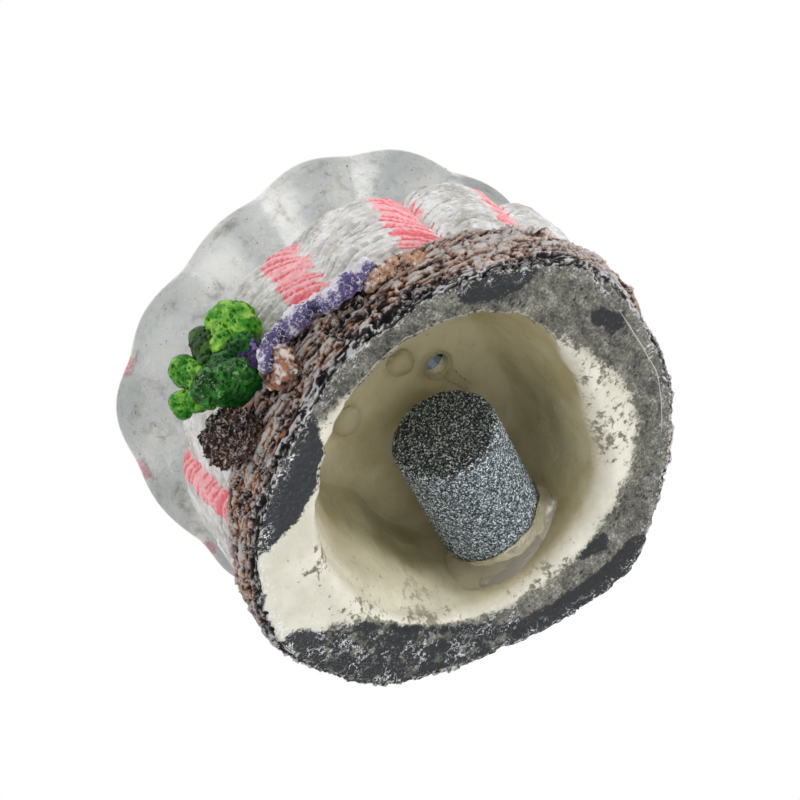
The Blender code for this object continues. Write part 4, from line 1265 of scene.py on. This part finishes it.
def growths(looks):
    """The rest on the plinth: for each piece its CAD node, paint and slot, its relief and tone, and the balls
    that fill it out.
    """
    pieces = (
        ("sponge_ridge", "purple_sponge", "violet", "purple_sponge",
         craggy(0.7, 0.45, 1.0, plates=0.0), sponge_tone,
         (((-9.6, -46.6, 11.6), 1.8), ((-6.4, -46.6, 13.2), (2.2, 1.5, 1.3)),
          ((-1.6, -46.6, 13.4), (2.4, 1.5, 1.9)), ((3.0, -46.2, 12.4), (2.2, 1.4, 1.4)),
          ((8.4, -45.4, 11.6), (2.8, 1.5, 1.9)), ((13.6, -43.8, 12.2), 1.7))),
        ("sponge_tip", "purple_sponge_tip", "deep_violet", "purple_sponge",
         craggy(0.7, 0.6, 2.0), rough_tone(0.6, 2.0),
         (((-14.0, -46.0, 14.2), (1.3, 1.1, 1.6)), ((-12.6, -46.6, 12.6), (1.3, 1.1, 1.6)),
          ((-10.8, -46.2, 16.4), (1.4, 1.1, 1.3)))),
        ("boulder_front", "rock_boulder_front", "orange", "orange_rock",
         craggy(0.8, 0.32, 3.0, pull=0.975), rough_tone(0.32, 3.0),
         (((-10.8, -45.4, 8.4), (3.3, 2.4, 3.3)),)),
        ("boulder_right", "rock_boulder_right", "orange", "orange_rock",
         craggy(0.8, 0.30, 4.0, pull=0.94, squash=0.32, floor=9.0), rough_tone(0.30, 4.0),
         (((36.4, -24.0, 10.6), (5.2, 3.0, 2.4)), ((32.6, -28.0, 10.4), (3.0, 2.4, 1.8)))),
        ("shell_chip", "shell_fragment", "beige", "beige_shell",
         craggy(0.8, 0.34, 5.0, pull=0.965, squash=0.28, floor=9.0), rough_tone(0.34, 5.0),
         (((14.0, -43.4, 11.6), (3.0, 2.2, 1.8)), ((20.6, -40.6, 12.0), (3.0, 2.2, 1.8)))),
        ("barnacles", "barnacle_cluster", "dark", "dark_growth",
         craggy(1.1, 0.46, 6.0, plates=-0.8), webbed_tone(0.46, 6.0),
         (((-27.5, -38.0, 13.0), 2.6), ((-23.4, -41.2, 9.6), 2.4))),
    )
    for name, node, colour, slot, relief, tone, balls in pieces:
        item = organic(name, [node], balls, 0.25, 2, relief, tone)
        show(item, looks[colour], slot, node)
    relief, tone = craggy(0.5, 0.25, 9.0), rough_tone(0.5, 3.0)
    pad = organic("ligament_pad", ["hinge_ligament"], (), 0.4, 4, relief, tone)
    show(pad, looks["leather"], "ligament", "hinge_ligament")


# ---------------------------------------------------------------- the scene round it

# Where the camera stands, in the plinth's own frame, how steeply it looks up, how far it is rolled, and the
# tangent of half its angle of view.
CAMERA_AT = (1.1915, -373.648, -359.670)
CAMERA_RISE = math.radians(46.0)
CAMERA_ROLL = math.radians(45.0)
HALF_VIEW = 0.1445


def camera():
    """Looks up at the underside of the ornament, as it lies tipped on its side."""
    lens = bpy.data.cameras.new("view")
    lens.sensor_width = 36.0
    lens.lens = lens.sensor_width / 2 / HALF_VIEW
    lens.clip_start = 0.01
    item = add_object("view", lens)
    ahead = Vector((0, math.cos(CAMERA_RISE), math.sin(CAMERA_RISE)))
    level = Vector((1, 0, 0))
    above = level.cross(ahead)
    right = math.cos(CAMERA_ROLL) * level - math.sin(CAMERA_ROLL) * above
    up = math.sin(CAMERA_ROLL) * level + math.cos(CAMERA_ROLL) * above
    turn = Matrix((right, up, -ahead)).transposed().to_4x4()
    item.matrix_world = Matrix.Translation(Vector(place([CAMERA_AT])[0])) @ turn
    bpy.context.scene.camera = item


def soft_light(name, azimuth, elevation, distance, size, power):
    """A round lamp aimed at the ornament from so many degrees round from the front and up."""
    data = bpy.data.lights.new(name, "AREA")
    data.shape = "DISK"
    data.size = size
    data.energy = power
    item = add_object(name, data)
    a, e = math.radians(azimuth), math.radians(elevation)
    away = Vector((math.sin(a) * math.cos(e), -math.cos(a) * math.cos(e), math.sin(e)))
    item.location = Vector((0, 0, 0.03)) + away * distance
    item.rotation_euler = (-away).to_track_quat("-Z", "Y").to_euler()
    item.visible_camera = False


def studio():
    """White surroundings, dimmer as light than as a backdrop, a main light from the right and two others."""
    world = bpy.data.worlds.new("studio")
    world.use_nodes = True
    tree = world.node_tree
    back = tree.nodes["Background"]
    back.inputs["Color"].default_value = (1, 1, 1, 1)
    seen = tree.nodes.new("ShaderNodeLightPath")
    level = tree.nodes.new("ShaderNodeMapRange")
    level.inputs["To Min"].default_value = 0.86
    level.inputs["To Max"].default_value = 1.0
    tree.links.new(seen.outputs["Is Camera Ray"], level.inputs["Value"])
    tree.links.new(level.outputs["Result"], back.inputs["Strength"])
    bpy.context.scene.world = world
    soft_light("key_right_below", 98, -34, 0.6, 0.22, 1.75)
    soft_light("fill_left", -55, -18, 0.6, 0.40, 0.40)
    soft_light("top", 20, 60, 0.7, 0.5, 1.5)
    scene = bpy.context.scene
    scene.view_settings.view_transform = "Standard"
    scene.view_settings.look = "None"


def floor():
    """A pale sheet seen only from above, so that the view from under the ornament stays open."""
    size, z = 1.5, -0.0002
    mesh = bpy.data.meshes.new("floor")
    corners = [(-size, -size, z), (size, -size, z), (size, size, z), (-size, size, z)]
    mesh.from_pydata(corners, [], [(0, 1, 2, 3)])
    item = add_object("floor", mesh)
    look = Look("pale_floor", roughness=0.7, specular=0.2)
    look.colour(look.mix(look.noise(0.004, 2), rgb(238, 237, 235), rgb(244, 243, 241)))
    tree = look.tree
    clear = tree.nodes.new("ShaderNodeBsdfTransparent")
    side = tree.nodes.new("ShaderNodeNewGeometry")
    mixed = tree.nodes.new("ShaderNodeMixShader")
    tree.links.new(side.outputs["Backfacing"], mixed.inputs[0])
    tree.links.new(look.shader.outputs[0], mixed.inputs[1])
    tree.links.new(clear.outputs[0], mixed.inputs[2])
    tree.links.new(mixed.outputs[0], tree.nodes["Material Output"].inputs["Surface"])
    mesh.materials.append(look.made)
    item.visible_shadow = False
    item.visible_diffuse = False
    item.visible_glossy = False
    item.visible_transmission = False


def finish_cad(name, look):
    """A CAD solid that stays visible gets the finished material."""
    data = nodes[name].data
    data.materials.clear()
    data.materials.append(look)


def main():
    camera()
    studio()
    floor()
    rock_plinth(rock_side_look(), underside_look())
    # Both valves carry the same shell paint: the lower valve's paints are darker as painted shade, and the
    # lid's are brighter and warmer as painted light.
    lower_valve(shell_look("shell_paint", (164, 160, 152), (192, 190, 185), (222, 221, 220)))
    upper_valve(shell_look("shell_paint_lid_painted_light", (214, 209, 202), (234, 231, 227), (248, 246, 242), 0.7))
    clam_mantle(mantle_look())
    air_stone(stone_look())
    glue(clear_look("clear_hot_glue", (232, 227, 208), 0.22, 0.85))
    coral({
        "emerald": coral_look("coral_emerald", (1, 20, 2), (4, 70, 8), (36, 134, 30)),
        "forest": coral_look("coral_forest", (6, 24, 4), (20, 62, 10), (70, 112, 36)),
        "leaf": coral_look("coral_leaf", (3, 36, 3), (30, 122, 14), (130, 204, 58), 0.6, (176, 226, 108)),
        "lime": coral_look("coral_lime", (6, 46, 4), (54, 148, 20), (168, 222, 84), 0.7, (206, 240, 130)),
        "glazed": coral_look("coral_glazed", (1, 22, 2), (8, 72, 6), (54, 138, 38), 0.6, (204, 228, 196)),
    })
    growths({
        "violet": brushed_look("sponge_violet", (26, 16, 44), (96, 82, 134), (240, 236, 246), web=0.8,
                               fine=1.5),
        "deep_violet": brushed_look("sponge_deep", (20, 8, 34), (52, 30, 86), (150, 132, 184), web=0.4),
        "orange": brushed_look("rock_orange", (24, 17, 15), (132, 100, 86), (236, 226, 220), (176, 122, 94)),
        "beige": brushed_look("chip_beige", (20, 15, 13), (184, 144, 120), (244, 236, 230), (214, 160, 124),
                              web=0.5),
        "dark": brushed_look("barnacle_dark", (6, 5, 6), (26, 20, 19), (226, 210, 202), (96, 60, 42),
                             web=0.8),
        "leather": brushed_look("ligament_leather", (30, 20, 16), (88, 62, 46), (150, 124, 100),
                                roughness=0.5),
    })
    finish_cad("air_stone_nipple", clear_look("nipple_plastic", (214, 220, 220), 0.2, 0.5))
    finish_cad("air_inlet", plastic_look("inlet_black", (26, 27, 28), 0.35))


main()
